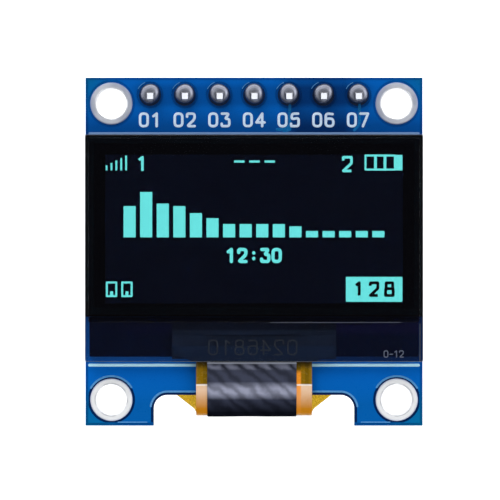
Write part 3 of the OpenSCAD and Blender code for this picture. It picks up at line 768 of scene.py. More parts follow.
class DISPLAY_OT_ink(Operator):
    """Print the board: the panel's two lines, and plain numbers for the pins and parts"""

    bl_idname = "display.ink"
    bl_label = "Printed Ink"

    def execute(self, context):
        look = context.scene.display_ink
        size, pen, thick, gap = (1000 * v for v in (look.numeral_h, look.pen_w, look.ink_t,
                                                    look.numeral_gap))
        low, high = box("silkscreen_front")
        half = 0.085
        ends = np.array([low[0] + half, high[0] - half])
        parts = [stroke([[x, y] for x in ends], wide, FILL_Z, thick)
                 for y, wide in ((high[1] - half, 0.17), (low[1] + half, 0.21))]
        for i, pin in enumerate(PINS):
            parts += numerals(f"0{i + 1}", pin[:2] - [0, gap], size, pen, FILL_Z, thick, 0.98)
        ink = printed_ink("White_Ink", look.ink, (look.line_top, look.line_low))
        make_piece("front_ink", parts, ink, ("silkscreen_front",))
        rear = []
        for i, pin in enumerate(PINS):
            rear += numerals(str(i + 1), [pin[0] * 0.98 + 1.15, 9.55], 0.7, 0.13, 0, thick,
                             mirror=True)
        for i in range(8):
            x = -8.4 + 2.4 * i
            rear += numerals(f"{i + 11}", [x + 0.95, 2.55], 0.55, 0.1, 0, thick, mirror=True)
            rear += [stroke([(x + side, 1.5), (x + side, 3.6)], 0.1, 0, thick)
                     for side in (-0.55, 0.55)]
        make_piece("rear_ink", turned_over(rear), printed_ink("Rear_Ink", look.ink))
        return {"FINISHED"}


# ---- metal ----


def tinned(name, colour, low, high, grain_scale, depth, tarnish=0.8, metallic=1.0):
    """Tin that has frozen after melting: soft cells, an uneven gloss, a duller bloom."""
    made = Finish(name, Metallic=metallic)
    cell = made.noise(grain_scale, 4, 0.6)
    made.roughness(cell, low, high)
    made.relief(cell, depth, 0.6)
    return made.colour(made.blend(made.noise(grain_scale * 0.4, 2), tinted(colour, tarnish),
                                  colour))


def ring_profile(bore, outer, crown, top):
    """Section of a plated hole: bore wall, a crown on either face whose height is the crown
    times the root of 1 minus the fourth power of the distance from its middle."""
    t = np.linspace(-1, 1, 17)
    radius = (outer + bore) / 2 + (outer - bore) / 2 * t
    lift = crown * np.sqrt(np.clip(1 - t**4, 0, 1))
    wall = np.linspace(0, top, 5)[1:-1]
    front = np.stack([radius, top + lift], -1)
    rear = np.stack([radius[::-1], -lift[::-1]], -1)
    inside = np.stack([np.full(3, bore), wall], -1)
    hidden = np.array([[bore + 0.05, top * 0.8], [bore + 0.05, top * 0.2]])
    return np.vstack([front, hidden, rear, inside])


def ring_tin(look):
    """Tin of the rings: pale at the bore and on the lower pair, duller and bluer towards the
    outside on the upper pair."""
    made = Finish.over(tinned("Ring_Tin", look.tin, 0.34, 0.5, 3.5, 0.012, 0.95, 0.32))
    x, y, _ = made.axes()
    across = made.less(made.unsigned(x), RINGS[1][0])
    along = made.less(made.unsigned(y), RINGS[1][1])
    radius = made.step("SQRT", made.plus(made.times(across, across),
                                        made.times(along, along)))
    made.lay(shade(98, 112, 150), made.reach(y, -1, 1), made.reach(radius, 1.16, 1.26),
             made.reach(made.noise(0.6, 2), 0.35, 0.65, 0.6, 1), 0.68)
    made.lay(shade(96, 98, 116), made.band(radius, 1.17, 1.21, 0.04),
             made.reach(made.noise(1.3, 1), 0.4, 0.6), 0.45)
    made.lay(shade(110, 132, 184), made.reach(radius, 1.42, 1.53, 0, 0.5))
    return made.colour(made.base)


class DISPLAY_OT_rings(Operator):
    """Make the four tinned mounting rings"""

    bl_idname = "display.rings"
    bl_label = "Mounting Rings"

    def execute(self, context):
        look = context.scene.display_metal
        low, high = box("mount_ring_1")
        profile = ring_profile(HOLE_R, (high[0] - low[0]) / 2, 1000 * look.crown, BOARD_T)
        parts = [revolve(profile, centre, 96, 0.004, i * 1.7, looped=True)
                 for i, centre in enumerate(RINGS)]
        make_piece("mount_rings", parts, ring_tin(look),
                   [f"mount_ring_{i + 1}" for i in range(4)], sharp=60)
        return {"FINISHED"}


def pin_shapes(lean):
    """Square pins with a drawn lower point. The upper tip leans to one side, and its cut face
    slopes: its height falls with the distance across."""
    low, high = box("header_pin_1")
    half = (high[0] - low[0]) / 2
    drawn = [0.16, 0.1, 0.0, 0.0, 0.02, 0.08, 0.1]
    heights = np.array([low[2], low[2] + 0.04, low[2] + 0.32, BOARD_T, high[2] - 0.18,
                        high[2] - 0.06, high[2] - 0.01])
    rings = np.stack([rounded_ring(half - k, half - k, 0.05, 4) for k in drawn])
    tip = (heights > 2)[:, None]
    tall = heights[:, None] + np.where(tip, -0.22, 0) * rings[:, :, 1] - tip * 0.04
    leaning = np.array([0, 0, 0, 0, 0.9, 1, 1])[:, None, None] * lean
    rings = rings + leaning * [0.3, -1.0]
    return [skin(np.concatenate([rings + pin[:2], tall[..., None]], -1)) for pin in PINS]


def solder_shapes(ripple):
    """Solder cones round the pins: the radius grows from the neck to the foot by the root of 1
    minus a power of the height."""
    foot, base, top, neck = 0.77, BOARD_T + 0.04, 2.16, 0.42
    t = np.linspace(0, 1, 16)
    radius = neck + (foot - neck) * np.sqrt(1 - t**2.2)
    profile = np.vstack([[[0.5, -0.03], [0.5, base - 0.005], [foot, base - 0.005]],
                         np.stack([radius, base + (top - base) * t], -1),
                         [[0.36, top + 0.01], [0.3, top - 0.04]]])
    return [revolve(profile, pin[:2] + [0, 0.07], 48, ripple, 1.3 * i)
            for i, pin in enumerate(PINS)]


def pin_plate(look):
    """Plating of the pins. Their upward cut faces are painted pale and hardly metallic, as a
    highlight.
    """
    made = Finish.over(tinned("Pin_Plate", look.pin, 0.42, 0.55, 5, 0.003))
    # Painted highlight: the upward cut faces at the top are pale and hardly metallic, in place of
    # the lamp's reflection
    tip = made.times(made.reach(made.axes()[2], 2.3, 2.32),
                     made.reach(made.facing(), 0.9, 0.95))
    made.feed(made.shader, "Metallic", made.less(1.0, made.times(tip, 0.85)))
    return made.colour(made.blend(tip, made.base, look.pin_tip_highlight))


def cone_solder(look):
    """Solder of the cones, with painted shade at the foot and on the lower side, towards the
    panel.
    """
    made = Finish.over(tinned("Header_Solder", look.solder, 0.3, 0.45, 2.2, 0.02, 0.75, 0.72))
    _, y, z = made.axes()
    row = PINS[0][1]
    # Painted shade: darker at the foot of each cone and on its lower half, towards the panel
    foot = made.larger(made.reach(z, 1.84, 2.14, 1, 0),
                       made.reach(y, row - 0.35, row + 0.15, 0.7, 0))
    return made.colour(made.blend(foot, made.base, look.solder_shade))


class DISPLAY_OT_header(Operator):
    """Make the pins and their solder cones, and finish the pads and the housing"""

    bl_idname = "display.header"
    bl_label = "Pin Header"

    def execute(self, context):
        look = context.scene.display_metal
        make_piece("header_pins", pin_shapes(look.pin_lean * 1000), pin_plate(look),
                   [f"header_pin_{i + 1}" for i in range(PIN_COUNT)])
        make_piece("solder_cones", solder_shapes(look.ripple), cone_solder(look),
                   [f"solder_joint_{i + 1}" for i in range(PIN_COUNT)], sharp=50)
        finish_node("header_pads", tinned("Pad_Tin", look.pad, 0.4, 0.5, 4, 0.006))
        nylon = grainy("Black_Nylon", shade(18, 18, 20), shade(30, 30, 33), (12, 4, 0.65),
                       (0.42, 0.6), 0.006, 0.7)
        finish_node("header_housing", nylon)
        return {"FINISHED"}


# ---- panel ----


def pane_glass(tint):
    """Clear glass with a faint tint; its ground edges are matt and darker."""
    made = Finish("Clear_Glass", Transmission_Weight=1.0, IOR=1.52)
    x, y, _ = made.axes()
    middle, half = (GLASS_HIGH + GLASS_LOW) / 2, (GLASS_HIGH - GLASS_LOW) / 2 - 0.05
    side = made.reach(made.unsigned(x), half[0], half[0] + 0.02)
    end = made.unsigned(made.less(y, middle[1]))
    rim = made.larger(side, made.reach(end, half[1], half[1] + 0.02))
    dust = made.reach(made.noise(2.5, 2), 0.3, 0.7, 0.02, 0.04)
    made.feed(made.shader, "Roughness", made.larger(dust, made.times(rim, 0.4)))
    return made.colour(made.blend(rim, tint, shade(52, 66, 92)))


def ledge_block(look):
    """Dark slate of the chip and its tape under the ledge, in shadow by the film's edge."""
    made = Finish("Chip_Tape", Specular_IOR_Level=0.08)
    cloud = made.noise(1.2, 2)
    made.roughness(cloud, 0.6, 0.7)
    slate = made.blend(cloud, look.shield, tinted(look.shield, 1.15))
    shadow = made.reach(made.axes()[1], -5.8, -5.66)
    return made.colour(made.blend(made.times(shadow, 0.8), slate, look.foam))


def ledge_shade_sheet(look):
    """Dark sheet under the ledge that stands for the shade there, with a faint painted violet
    reflection along the film's edge.
    """
    made = Finish.over(cloudy("Dark_Ledge_Strip", look.foam, 0.8, 0.9, 4, 1.6,
                              Specular_IOR_Level=0.05))
    # Painted reflection: a faint violet tint along the film's edge
    violet_reflection = made.times(made.band(made.axes()[1], -5.7, -5.4, 0.5),
                        made.reach(made.noise(0.25, 1), 0.35, 0.6, 0.1, 0.7))
    return made.colour(made.blend(violet_reflection, made.base, shade(22, 20, 66)))


def lit_dots(look):
    """Lit picture: black in itself, shining evenly."""
    made = Finish("Lit_Dots", Emission_Color=look.glow, Emission_Strength=look.glow_level,
                  Roughness=0.5)
    return made.colour(made.blend(made.noise(4), shade(40, 90, 88), shade(60, 120, 116)))


def from_corner(left, top):
    """Place of a dot, counted from the picture's top left corner."""
    return LIT_LOW[0] + left * DOT, LIT_HIGH[1] - top * DOT


def lit_block(left, top, wide, high, z_high=GLOW_HIGH):
    """Lit block: its place and size in dots, as a thin cushion."""
    x, y = from_corner(left, top)
    trim = 0.2 * DOT
    return cushion((x + trim, y - high * DOT + trim * 0.4, GLOW_LOW),
                   (x + wide * DOT - trim, y - trim, z_high), 0.015, 0.01, 3, 3)


def lit_frame(left, top, wide, high):
    """Lit frame: a closed, square-cornered stroke round a block's edge."""
    x, y = from_corner(left, top)
    line = 0.85 * DOT
    half = line / 2
    right, foot = x + wide * DOT - half, y - high * DOT + half
    corners = [[x + half, y - half], [right, y - half], [right, foot], [x + half, foot]]
    path = smooth_path(corners, 0.01, True, 3)
    return stroke(path, line, GLOW_LOW, GLOW_HIGH - GLOW_LOW, True, 5)


# Chart of bars, in dots: heights, left end, step, foot and width of a bar; foot of the top row
BAR_HEIGHTS = [13.7, 19.8, 14.8, 13.7, 10.7, 8.5, 6, 6, 6, 6, 5, 3, 3, 3, 3, 3]
CHART_LEFT, CHART_STEP, CHART_FOOT, BAR_W = 7.7, 7.13, 35.7, 5.6
TOP_ROW_H = 6.9
BADGE_T = 0.006


def lit_picture():
    """The picture that is shown, with its places in dots: a row of bars, rising bars and three
    dashes at the top, two small frames, a row of cells, plain numbers and a badge."""
    made = [lit_block(CHART_LEFT + CHART_STEP * i, CHART_FOOT - tall, BAR_W, tall)
            for i, tall in enumerate(BAR_HEIGHTS)]
    made += [lit_block(2.1 * i, TOP_ROW_H - tall, 1.2, tall)
             for i, tall in enumerate(2.4 + 1.05 * np.arange(5))]
    made += [lit_block(55.2 + 6.55 * i, 2.35, 4.9, 1.2) for i in range(3)]
    for left in (0.3, 6.9):
        made += [lit_frame(left, 54.6, 4.9, 6.7), lit_block(left + 1.6, 58.6, 1.7, 2.7)]
    made += [lit_frame(111.5 + 4.1 * i, 0, 5.3, TOP_ROW_H) for i in range(3)]
    made.append(lit_block(124.8, 0, 3.2, TOP_ROW_H))
    thick = GLOW_HIGH - GLOW_LOW
    for text, x in (("1", -8.2), ("2", 6.82)):
        made += numerals(text, (x, 6.4), 1.0, 0.19, GLOW_LOW, thick, rounding=0.12, square=True)
    made += numerals("12:30", (-0.02, -0.28), 0.88, 0.24, GLOW_LOW, thick, 0.95)
    made.append(lit_block(103.3, 52.4, 24.7, 11, GLOW_LOW + BADGE_T))
    return made


def dress_ledge(look):
    """A dark strip under the clear ledge that stands for the shade there, painted glints along
    the glass's right edge and the film's lower edge, a small number and a faint mirrored
    marking."""
    # A dark strip under the ledge stands for the shade there
    strip_low = (GLASS_LOW[0] + 0.3, GLASS_LOW[1] + 0.36, FILL_Z - 0.01)
    strip_high = (GLASS_HIGH[0] - 0.3, -4.8, FILL_Z + 0.34)
    make_piece("ledge_shade_sheet", [cushion(strip_low, strip_high, 0.1, 0.05)], ledge_shade_sheet(look))
    under, thick = GLASS_LOW[2] - 0.005, 0.006
    # Painted highlights: a thin grey line under the glass's right edge and one along the film's
    # lower edge, standing for glints
    bead = [stroke([[12.13, -5.3], [12.13, -7.95]], 0.1, under, thick),
            stroke([[1.2, FILM_LOW[1] - 0.03], [10.7, FILM_LOW[1] - 0.02]], 0.045,
                   GLASS_HIGH[2], 0.02)]
    make_piece("ledge_highlight_lines", bead, printed_ink("Painted_Ledge_Highlights", look.bead))
    number = numerals("0-12", (10.21, -7.48), 0.46, 0.075, under, thick, 0.82)
    make_piece("ledge_number", number, printed_ink("Ledge_Ink", look.marking))
    faint = numerals("0246810", (-0.1, -7.0), 1.05, 0.12, under, thick, 0.92, mirror=True)
    make_piece("ledge_marking", faint, printed_ink("Faint_Ink", shade(44, 52, 64)))


class DISPLAY_OT_panel(Operator):
    """Make the glass panel's front pane, film, lit picture and ledge, and finish its layers"""

    bl_idname = "display.panel"
    bl_label = "Glass Panel"

    def execute(self, context):
        look = context.scene.display_screen
        pane = cushion(GLASS_LOW + [0, 0, 0.004], GLASS_HIGH, 0.15, 1000 * look.glass_edge)
        make_piece("front_pane", [pane], pane_glass(look.glass),
                   ("front_glass",))
        film = cloudy("Polarizer", look.film, 0.07, 0.11, 0.4, 1.2, IOR=1.49,
                      Alpha=look.film_cover)
        make_piece("polarizer_sheet", [cushion(FILM_LOW + [0, 0, 0.002], FILM_HIGH, 0.1, 0.03)],
                   film, ("polarizer_film",))
        make_piece("lit_picture", lit_picture(), lit_dots(look), ("lit_segments",))
        badge = numerals("128", from_corner(115.6, 57.9), 0.92, 0.22, GLOW_LOW + BADGE_T,
                         BADGE_T, 1.22, rounding=0.15, square=True)
        make_piece("badge_numbers", badge, cloudy("Unlit_Dots", shade(12, 14, 22), 0.4, 0.5, 2))
        for node, name, hue, shine, *gloss in (
                ("cap_glass", "Cap_Glass", (8, 10, 14), 0.5, 0.06, 0.12, 1),
                ("emitter_film", "Emitter_Film", (18, 33, 66), 0.2, 0.3, 0.45, 1),
                ("absorber_sheet", "Absorber", (40, 42, 46), 0.5, 0.6, 0.8, 5),
                ("seal_bead", "Seal", (12, 25, 31), 0.05, 0.3, 0.5, 6),
                ("mounting_foam", "Foam", (20, 20, 22), 0.5, 0.85, 0.95, 20)):
            finish_node(node, cloudy(name, shade(*hue), *gloss, Specular_IOR_Level=shine))
        slate = ledge_block(look)
        for node in ("driver_chip", "chip_shield_tape"):
            finish_node(node, slate)
        dress_ledge(look)
        return {"FINISHED"}


# ---- flex cable ----

# Middle line of the cable: half its thickness, its two levels, where it starts to bend, the
# turn of its wide arc, and its outermost place
FLEX_HALF_T = 0.06
FRONT_LEVEL = FLEX_HIGH[2] - FLEX_HALF_T
REAR_LEVEL = FLEX_LOW[2] + FLEX_HALF_T
BEND_Y = -9.75
BEND_TURN = math.radians(38)
FLEX_APEX = FLEX_LOW[1] + FLEX_HALF_T
# Half of the cable's width at its head, neck and tail, and the flare between the last two
HEAD_HALF, NECK_HALF, TAIL_HALF = 6.0, 4.22, 9.5
FLARE_Y = -11.95
FLARE_R = 0.6
FLARE_TURN = math.radians(52)
# Depth of the crease where the bend starts, and the cover tape's shift to one side
CREASE = 0.02
TAPE_SHIFT = -0.16


def bend_radii():
    """Radii of the two arcs, from the bend's reach and the height between the two levels."""
    turn_s, turn_c = math.sin(BEND_TURN), math.cos(BEND_TURN)
    drop, run = FRONT_LEVEL - REAR_LEVEL, BEND_Y - FLEX_APEX
    share = turn_s * (1 + turn_c) - (1 - turn_s) * (1 - turn_c)
    wide = (run * (1 + turn_c) - drop * (1 - turn_s)) / share
    tight = (drop * turn_s - run * (1 - turn_c)) / share
    return wide, tight


def bend_line(front_end, rear_end, steps):
    """Middle line of the bend as (y, z) and its outward normal: straight, a wide arc, a tight
    arc, and straight again; the points are even along it."""
    wide, tight = bend_radii()
    centre = np.array([BEND_Y, FRONT_LEVEL - wide])
    first = np.linspace(math.pi / 2, math.pi / 2 + BEND_TURN, 40)
    direction = np.array([math.cos(first[-1]), math.sin(first[-1])])
    inner = centre + (wide - tight) * direction
    second = np.linspace(first[-1], 1.5 * math.pi, 80)
    lead = np.linspace(front_end, BEND_Y, 40)[:-1]
    tail = np.linspace(inner[0], rear_end, 60)[1:]
    y = np.concatenate([lead, centre[0] + wide * np.cos(first),
                        (inner[0] + tight * np.cos(second))[1:], tail])
    z = np.concatenate([np.full(39, FRONT_LEVEL), centre[1] + wide * np.sin(first),
                        (inner[1] + tight * np.sin(second))[1:], np.full(59, REAR_LEVEL)])
    length = np.concatenate([[0], np.cumsum(np.hypot(np.diff(y), np.diff(z)))])
    even = np.linspace(0, length[-1], steps)
    line = np.stack([np.interp(even, length, y), np.interp(even, length, z)], -1)
    along = np.gradient(line, axis=0)
    along /= np.linalg.norm(along, axis=1, keepdims=True)
    return line, np.stack([along[:, 1], -along[:, 0]], -1)


def strip(line, normal, half_width, middle, thick, wave=0.0, shift=0.0):
    """Sheet carried along the bend: each row runs from one edge to the other over the outer
    face, round the rim and back under, at half the thickness either way from its middle
    height. The sheet waves by a product of slow sines of its width and its length, and has a
    bell-shaped crease across it where the bend starts."""
    u = np.linspace(-1, 1, 41)
    ring_u = np.concatenate([u, [1, 1], u[::-1], [-1, -1]])
    ring_t = np.concatenate([u * 0 + 1, [0.6, -0.6], u * 0 - 1, [-0.6, 0.6]])
    bulge = np.concatenate([u * 0, [0.2, 0.2], u * 0, [-0.2, -0.2]])
    x = ring_u[None] * half_width[:, None] + bulge * thick + shift
    rows = np.arange(len(line))[:, None]
    swing = wave * np.sin(ring_u[None] * 4.1 + rows * 0.05) * np.cos(rows * 0.13 + ring_u * 1.7)
    fold = np.exp(-(((line[:, :1] - BEND_Y) / 0.09) ** 2)) * (line[:, 1:] > 1)
    out = middle + ring_t[None] * thick / 2 + swing + CREASE * fold
    y = line[:, :1] + normal[:, :1] * out
    z = line[:, 1:] + normal[:, 1:] * out
    return skin(np.stack([x, y, z], -1))


def flex_half_width(line):
    """Half of the flex cable's width along the bend: head, neck, then the flare, which is an
    arc that turns away from the neck followed by a slope out to the tail."""
    y, z = line[:, 0], line[:, 1]
    front = np.interp(y, [GLASS_LOW[1] - 0.01, GLASS_LOW[1] + 0.5], [NECK_HALF, HEAD_HALF])
    reach = FLARE_R * math.sin(FLARE_TURN)
    bow = np.clip((y - FLARE_Y) / reach, 0, 1)
    turned = NECK_HALF + FLARE_R * (1 - np.sqrt(1 - (bow * math.sin(FLARE_TURN)) ** 2))
    slope = np.clip(y - (FLARE_Y + reach), 0, None) * math.tan(FLARE_TURN)
    return np.where(z > 0.6, front, np.minimum(turned + slope, TAIL_HALF))


def amber_film(look):
    """Amber film over copper tracks: olive where it lies flat, with a painted sheen where it
    bends that gives way to golden amber as it turns down, a painted white highlight along
    the fold and a painted shadow just below the glass; the flared tail is painted lighter
    against the shade under the board; dark and matt where the glass covers it."""
    made = Finish("Amber_Film")
    x, y, z = made.axes()
    front = made.reach(z, 0.9, 1.2)
    flared = made.reach(z, 0.3, 0.8, 1, 0)
    covered = made.times(made.reach(y, GLASS_LOW[1], GLASS_LOW[1] + 0.02), front)
    bare = made.less(1.0, covered)
    bent = made.times(front, made.reach(y, BEND_Y - 0.05, BEND_Y + 0.02, 1, 0))
    tracks = made.times(made.reach(made.step("SINE", made.times(x, 10.1)), -0.2, 0.2),
                        made.reach(made.unsigned(x), 3.95, 4.1, 1, 0), made.less(1.0, bent))
    made.base = look.film
    made.lay(tinted(look.film, 0.7), made.reach(made.noise(0.8, 2), 0.35, 0.65))
    # Painted light: the flared tail, in shade under the board, is painted lighter
    made.lay(look.film_tail_painted_light, flared)
    made.lay(look.film_dark, tracks, 0.8)
    made.lay(look.film_dark, made.less(front, bent), 0.75)
    # Painted sheen in the bend, giving way to golden amber lower down
    sheen_to_amber = made.blend(made.reach(y, -11.5, -10.1), look.film_turned, look.film_sheen)
    made.lay(sheen_to_amber, bent, made.reach(made.noise(1.5, 2), 0.2, 0.6, 0.8, 1))
    # A brighter orange stripe along the tape's right side, fainter lower down
    made.lay(look.film_edge, front, made.band(x, 3.14, 3.38, 0.1),
             made.reach(y, -8.9, -8.6, 1, 0), made.reach(y, -11.6, -10.0, 0.3, 0.85))
    # Painted highlight: a pale line along the fold where the bend starts
    made.lay((0.84, 0.78, 0.72), front, made.band(y, BEND_Y - 0.03, BEND_Y + 0.03), 0.85)
    # Painted shadow on the film just below the glass's edge
    made.lay(shade(22, 18, 6), front, made.reach(y, -8.6, -8.15), 0.8)
    made.lay(shade(31, 45, 70), covered)
    made.feed(made.shader, "Specular IOR Level",
              made.times(bare, made.less(0.35, made.times(bent, 0.3))))
    over_notch = made.reach(y, NOTCH_Y, NOTCH_Y + 0.1, 1, 0)
    made.feed(made.shader, "Transmission Weight", made.times(flared, over_notch, 0.5))
    gloss = made.reach(made.noise(3), 0.3, 0.7, 0.2, 0.32)
    made.feed(made.shader, "Roughness", made.larger(gloss, made.times(covered, 0.7)))
    ripple = made.times(made.noise(1.2, 2), 0.6)
    made.relief(made.times(bare, made.plus(tracks, ripple)), 0.006, 0.5)
    return made.colour(made.base)


def cover_tape(look):
    """Dark satin tape: a slanting wave shows as soft bands, partly relief and partly painted
    sheen; painted sheen along the crease and near the upper edge, a painted highlight on the
    upper edge itself, and painted shade, nearly black, where the tape turns down."""
    made = Finish("Cover_Tape")
    x, y, _ = made.axes()
    slant = made.plus(x, made.times(y, 1.25))
    drift = made.times(made.noise(0.9, 3), 9.0)
    wave = made.reach(made.step("SINE", made.plus(made.times(slant, 4.9), drift)), -1, 1)
    grain = made.noise(10, 3, 0.6)
    # Soft slanting bands: the relief is real, the lighter and darker colour bands are painted
    # sheen
    made.base = made.blend(wave, tinted(look.tape, 0.7), tinted(look.tape, 1.35))
    # Painted sheen along the crease
    made.lay(look.tape_sheen, made.band(y, -10.35, -10.0, 0.5),
             made.reach(wave, 0, 1, 0.4, 0.8))
    # Painted sheen near the upper edge
    made.lay(look.tape_sheen, made.band(y, TAPE_HIGH[1] - 0.4, TAPE_HIGH[1], 0.2), wave, 0.4)
    # Painted shade where the tape turns down, nearly black
    made.lay(shade(5, 7, 13), made.reach(y, -11.8, -10.7, 1, 0), 0.92)
    # Painted highlight along the tape's upper edge
    made.lay(look.tape_edge_highlight, made.reach(y, TAPE_HIGH[1] - 0.14, TAPE_HIGH[1] - 0.05), 0.9)
    made.feed(made.shader, "Specular IOR Level", made.reach(y, -10.9, -10.4, 0, 0.2))
    made.roughness(made.plus(made.times(wave, 0.4), made.times(grain, 0.6)), 0.4, 0.6)
    made.relief(made.plus(wave, grain), 0.008, 0.4)
    return made.colour(made.base)


class DISPLAY_OT_flex(Operator):
    """Make the flex cable and its cover tape, and finish its solder"""

    bl_idname = "display.flex"
    bl_label = "Flex Cable"

    def execute(self, context):
        look = context.scene.display_flex
        line, normal = bend_line(HEAD_END, FLEX_HIGH[1], 220)
        sheet = strip(line, normal, flex_half_width(line), -0.004, 2 * FLEX_HALF_T - 0.008)
        make_piece("flex_sheet", [sheet], amber_film(look), ("flex_cable",), 50)
        line, normal = bend_line(TAPE_HIGH[1], NOTCH_Y + 0.6, 160)
        half = np.full(len(line), (TAPE_HIGH[0] - TAPE_LOW[0]) / 2)
        tape = strip(line, normal, half, FLEX_HALF_T + 0.032, 0.06, 1000 * look.wave,
                     TAPE_SHIFT)
        make_piece("neck_tape", [tape], cover_tape(look), ("flex_cover_tape",), 50)
        metal = context.scene.display_metal
        finish_node("flex_solder", tinned("Finger_Solder", metal.solder, 0.2, 0.35, 4, 0.01))
        return {"FINISHED"}


# ---- parts on the rear ----

def chip_parts(nodes, end_l):
    """Bodies and metal ends of a set of chip parts: each body a soft-edged block drawn in a
    little from its box, each end a slightly prouder one over the last stretch."""
    bodies, ends = [], []
    for low, high in map(box, nodes):
        axis = 0 if high[0] - low[0] > high[1] - low[1] else 1
        inner = np.full(3, 0.02)
        inner[axis] = end_l * 0.5
        bodies.append(cushion(low + inner, high - inner * [1, 1, 0], 0.06, 0.03))
        for end in (0, 1):
            a, b = low.copy(), high.copy()
            a[axis] = low[axis] if end == 0 else high[axis] - end_l
            b[axis] = low[axis] + end_l if end == 0 else high[axis]
            ends.append(cushion(a, b, 0.07, 0.05))
    return bodies, ends


class DISPLAY_OT_parts(Operator):
    """Make the chip capacitors and resistors, and finish the moulded parts and solder"""

    bl_idname = "display.parts"
    bl_label = "Rear Parts"

    def execute(self, context):
        look = context.scene.display_parts
        metal = context.scene.display_metal
        ceramic = grainy("Ceramic", tinted(look.ceramic, 0.75), look.ceramic, (8, 4, 0.6),
                         (0.35, 0.5), 0.004, 0.5)
        coat = grainy("Resistor_Coat", look.coat, tinted(look.coat, 1.5), (9, 3),
                      (0.22, 0.35), 0.003, 0.5)
        ends = []
        for kind, material in (("capacitor", ceramic), ("resistor", coat)):
            nodes = [f"{kind}_{i + 1}" for i in range(8)]
            bodies, caps = chip_parts(nodes, 1000 * look.end_l)
            make_piece(f"{kind}_bodies", bodies, material, nodes)
            ends += caps
        make_piece("chip_ends", ends, tinned("Chip_Ends", metal.tin, 0.25, 0.4, 5, 0.006))
        epoxy = grainy("Black_Epoxy", look.moulding, tinted(look.moulding, 1.4), (16, 4, 0.7),
                       (0.5, 0.65), 0.006, 0.7)
        leads = tinned("Lead_Tin", metal.tin, 0.22, 0.35, 6, 0.004)
        for part in ("regulator", "diode"):
            finish_node(f"{part}_body", epoxy)
            finish_node(f"{part}_leads", leads)
        finish_node("part_solder", tinned("Part_Solder", metal.solder, 0.16, 0.3, 5, 0.01))
        return {"FINISHED"}


# ---- stage ----


def soft_lamp(name, place, size, power, mirrored=True):
    """Square area lamp, in millimetres, that looks at the origin; one that isn't mirrored
    gives its light without showing in gloss."""
    data = bpy.data.lights.new(name, "AREA")
    data.size = size / 1000
    data.energy = power
    lamp = bpy.data.objects.new(name, data)
    lamp.visible_glossy = mirrored
    bpy.context.scene.collection.objects.link(lamp)
    place = Vector(place) / 1000
    turn = (-place).to_track_quat("-Z", "Y").to_matrix().to_4x4()
    lamp.matrix_world = Matrix.Translation(place) @ turn


def pale_floor(look):
    """Floor that takes the module's shadow, glows evenly where it is looked at, in mirrors and
    through glass too, and lets a view from below through."""
    made = Finish("Pale_Floor", Roughness=0.9, Specular_IOR_Level=0.0)
    made.feed(made.shader, "Emission_Color", (1, 1, 1))
    path = made.tree.nodes.new("ShaderNodeLightPath").outputs
    seen = made.larger(made.larger(path["Is Camera Ray"], path["Is Glossy Ray"]),
                       path["Is Transmission Ray"])
    made.feed(made.shader, "Emission_Strength", made.times(seen, look.floor_glow))
    back_face = made.node("NewGeometry", out=6)
    made.feed(made.shader, "Alpha", made.less(1.0, back_face))
    return made.colour(made.blend(made.noise(0.4, 2), look.floor, tinted(look.floor, 0.97)))


def soft_sky(look):
    """World that is white at the horizon, even above it and dark straight up, so that flat
    black glass stays black; where the camera looks at it directly it is white."""
    world = bpy.data.worlds.new("Soft_Sky")
    bpy.context.scene.world = world
    world.use_nodes = True
    nodes, links = world.node_tree.nodes, world.node_tree.links
    background = nodes["Background"]
    background.inputs["Color"].default_value = (1, 1, 1, 1)
    direction = nodes.new("ShaderNodeTexCoord")
    split = nodes.new("ShaderNodeSeparateXYZ")
    links.new(direction.outputs["Generated"], split.inputs[0])
    bands = []
    for limits in ((0.0, 0.22, 1.0, look.sky), (0.80, 0.985, 1.0, look.sky_top / look.sky)):
        band = nodes.new("ShaderNodeMapRange")
        band.interpolation_type = "SMOOTHSTEP"
        for k, value in enumerate(limits):
            band.inputs[k + 1].default_value = value
        links.new(split.outputs[2], band.inputs[0])
        bands.append(band.outputs[0])
    both = nodes.new("ShaderNodeMath")
    both.operation = "MULTIPLY"
    for k, band in enumerate(bands):
        links.new(band, both.inputs[k])
    level = nodes.new("ShaderNodeMix")
    links.new(nodes.new("ShaderNodeLightPath").outputs["Is Camera Ray"], level.inputs[0])
    links.new(both.outputs[0], level.inputs[2])
    level.inputs[3].default_value = 1.0
    links.new(level.outputs[0], background.inputs["Strength"])


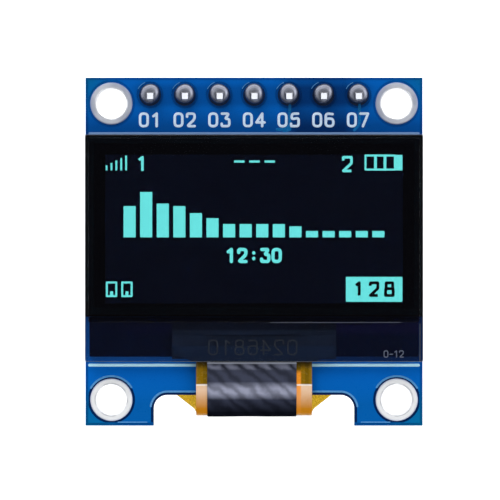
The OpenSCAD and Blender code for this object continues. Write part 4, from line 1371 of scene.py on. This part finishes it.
class DISPLAY_OT_stage(Operator):
    """Set the floor, the soft lamps, the sky and the camera"""

    bl_idname = "display.stage"
    bl_label = "Stage"

    def execute(self, context):
        look = context.scene.display_stage
        scene = context.scene
        reach, level = 1.2, CAD_LOW[2]
        mesh = bpy.data.meshes.new("floor")
        mesh.from_pydata([(-reach, -reach, level), (reach, -reach, level),
                          (reach, reach, level), (-reach, reach, level)], [], [[0, 1, 2, 3]])
        mesh.materials.append(pale_floor(look))
        floor = bpy.data.objects.new("floor", mesh)
        scene.collection.objects.link(floor)
        soft_sky(look)
        power = look.key_power
        soft_lamp("Key_Lamp", (-110, 380, 330), 460, 2.3 * power, mirrored=False)
        soft_lamp("Key_Sheen", (-110, 380, 330), 460, 0.6 * power)
        soft_lamp("Fill_Lamp", (120, -420, 260), 400, 0.6 * power)
        soft_lamp("Side_Lamp", (470, 100, 220), 400, 0.6 * power)
        camera = bpy.data.cameras.new("Camera")
        camera.lens, camera.sensor_width = look.lens, 36.0
        camera.clip_start, camera.clip_end = 0.01, 10.0
        viewer = bpy.data.objects.new("Camera", camera)
        viewer.location = (-0.000295, 0.00012, look.distance)
        scene.collection.objects.link(viewer)
        scene.camera = viewer
        scene.view_settings.view_transform = "Standard"
        return {"FINISHED"}


# ---- add-on ----

STEPS = (DISPLAY_OT_board, DISPLAY_OT_ink, DISPLAY_OT_rings, DISPLAY_OT_header, DISPLAY_OT_panel,
         DISPLAY_OT_flex, DISPLAY_OT_parts, DISPLAY_OT_stage)


class DISPLAY_PT_finish(Panel):
    """Lists the pieces' operators in the sidebar"""

    bl_idname = "DISPLAY_PT_finish"
    bl_label = "Display Module"
    bl_space_type = "VIEW_3D"
    bl_region_type = "UI"
    bl_category = "Display Module"

    def draw(self, context):
        for step in STEPS:
            self.layout.operator(step.bl_idname)
        for name, group in GROUPS.items():
            column = self.layout.column(heading=name)
            for prop in group.__annotations__:
                column.prop(getattr(context.scene, name), prop)


CLASSES = (*GROUPS.values(), *STEPS, DISPLAY_PT_finish)


def register():
    for cls in CLASSES:
        bpy.utils.register_class(cls)
    for name, group in GROUPS.items():
        setattr(bpy.types.Scene, name, PointerProperty(type=group))


def unregister():
    for name in GROUPS:
        delattr(bpy.types.Scene, name)
    for cls in reversed(CLASSES):
        bpy.utils.unregister_class(cls)


def main():
    register()
    for step in STEPS:
        group, name = step.bl_idname.split(".")
        if getattr(getattr(bpy.ops, group), name)() != {"FINISHED"}:
            raise RuntimeError(f"{step.bl_label} didn't finish")


if __name__ == "__main__":
    main()
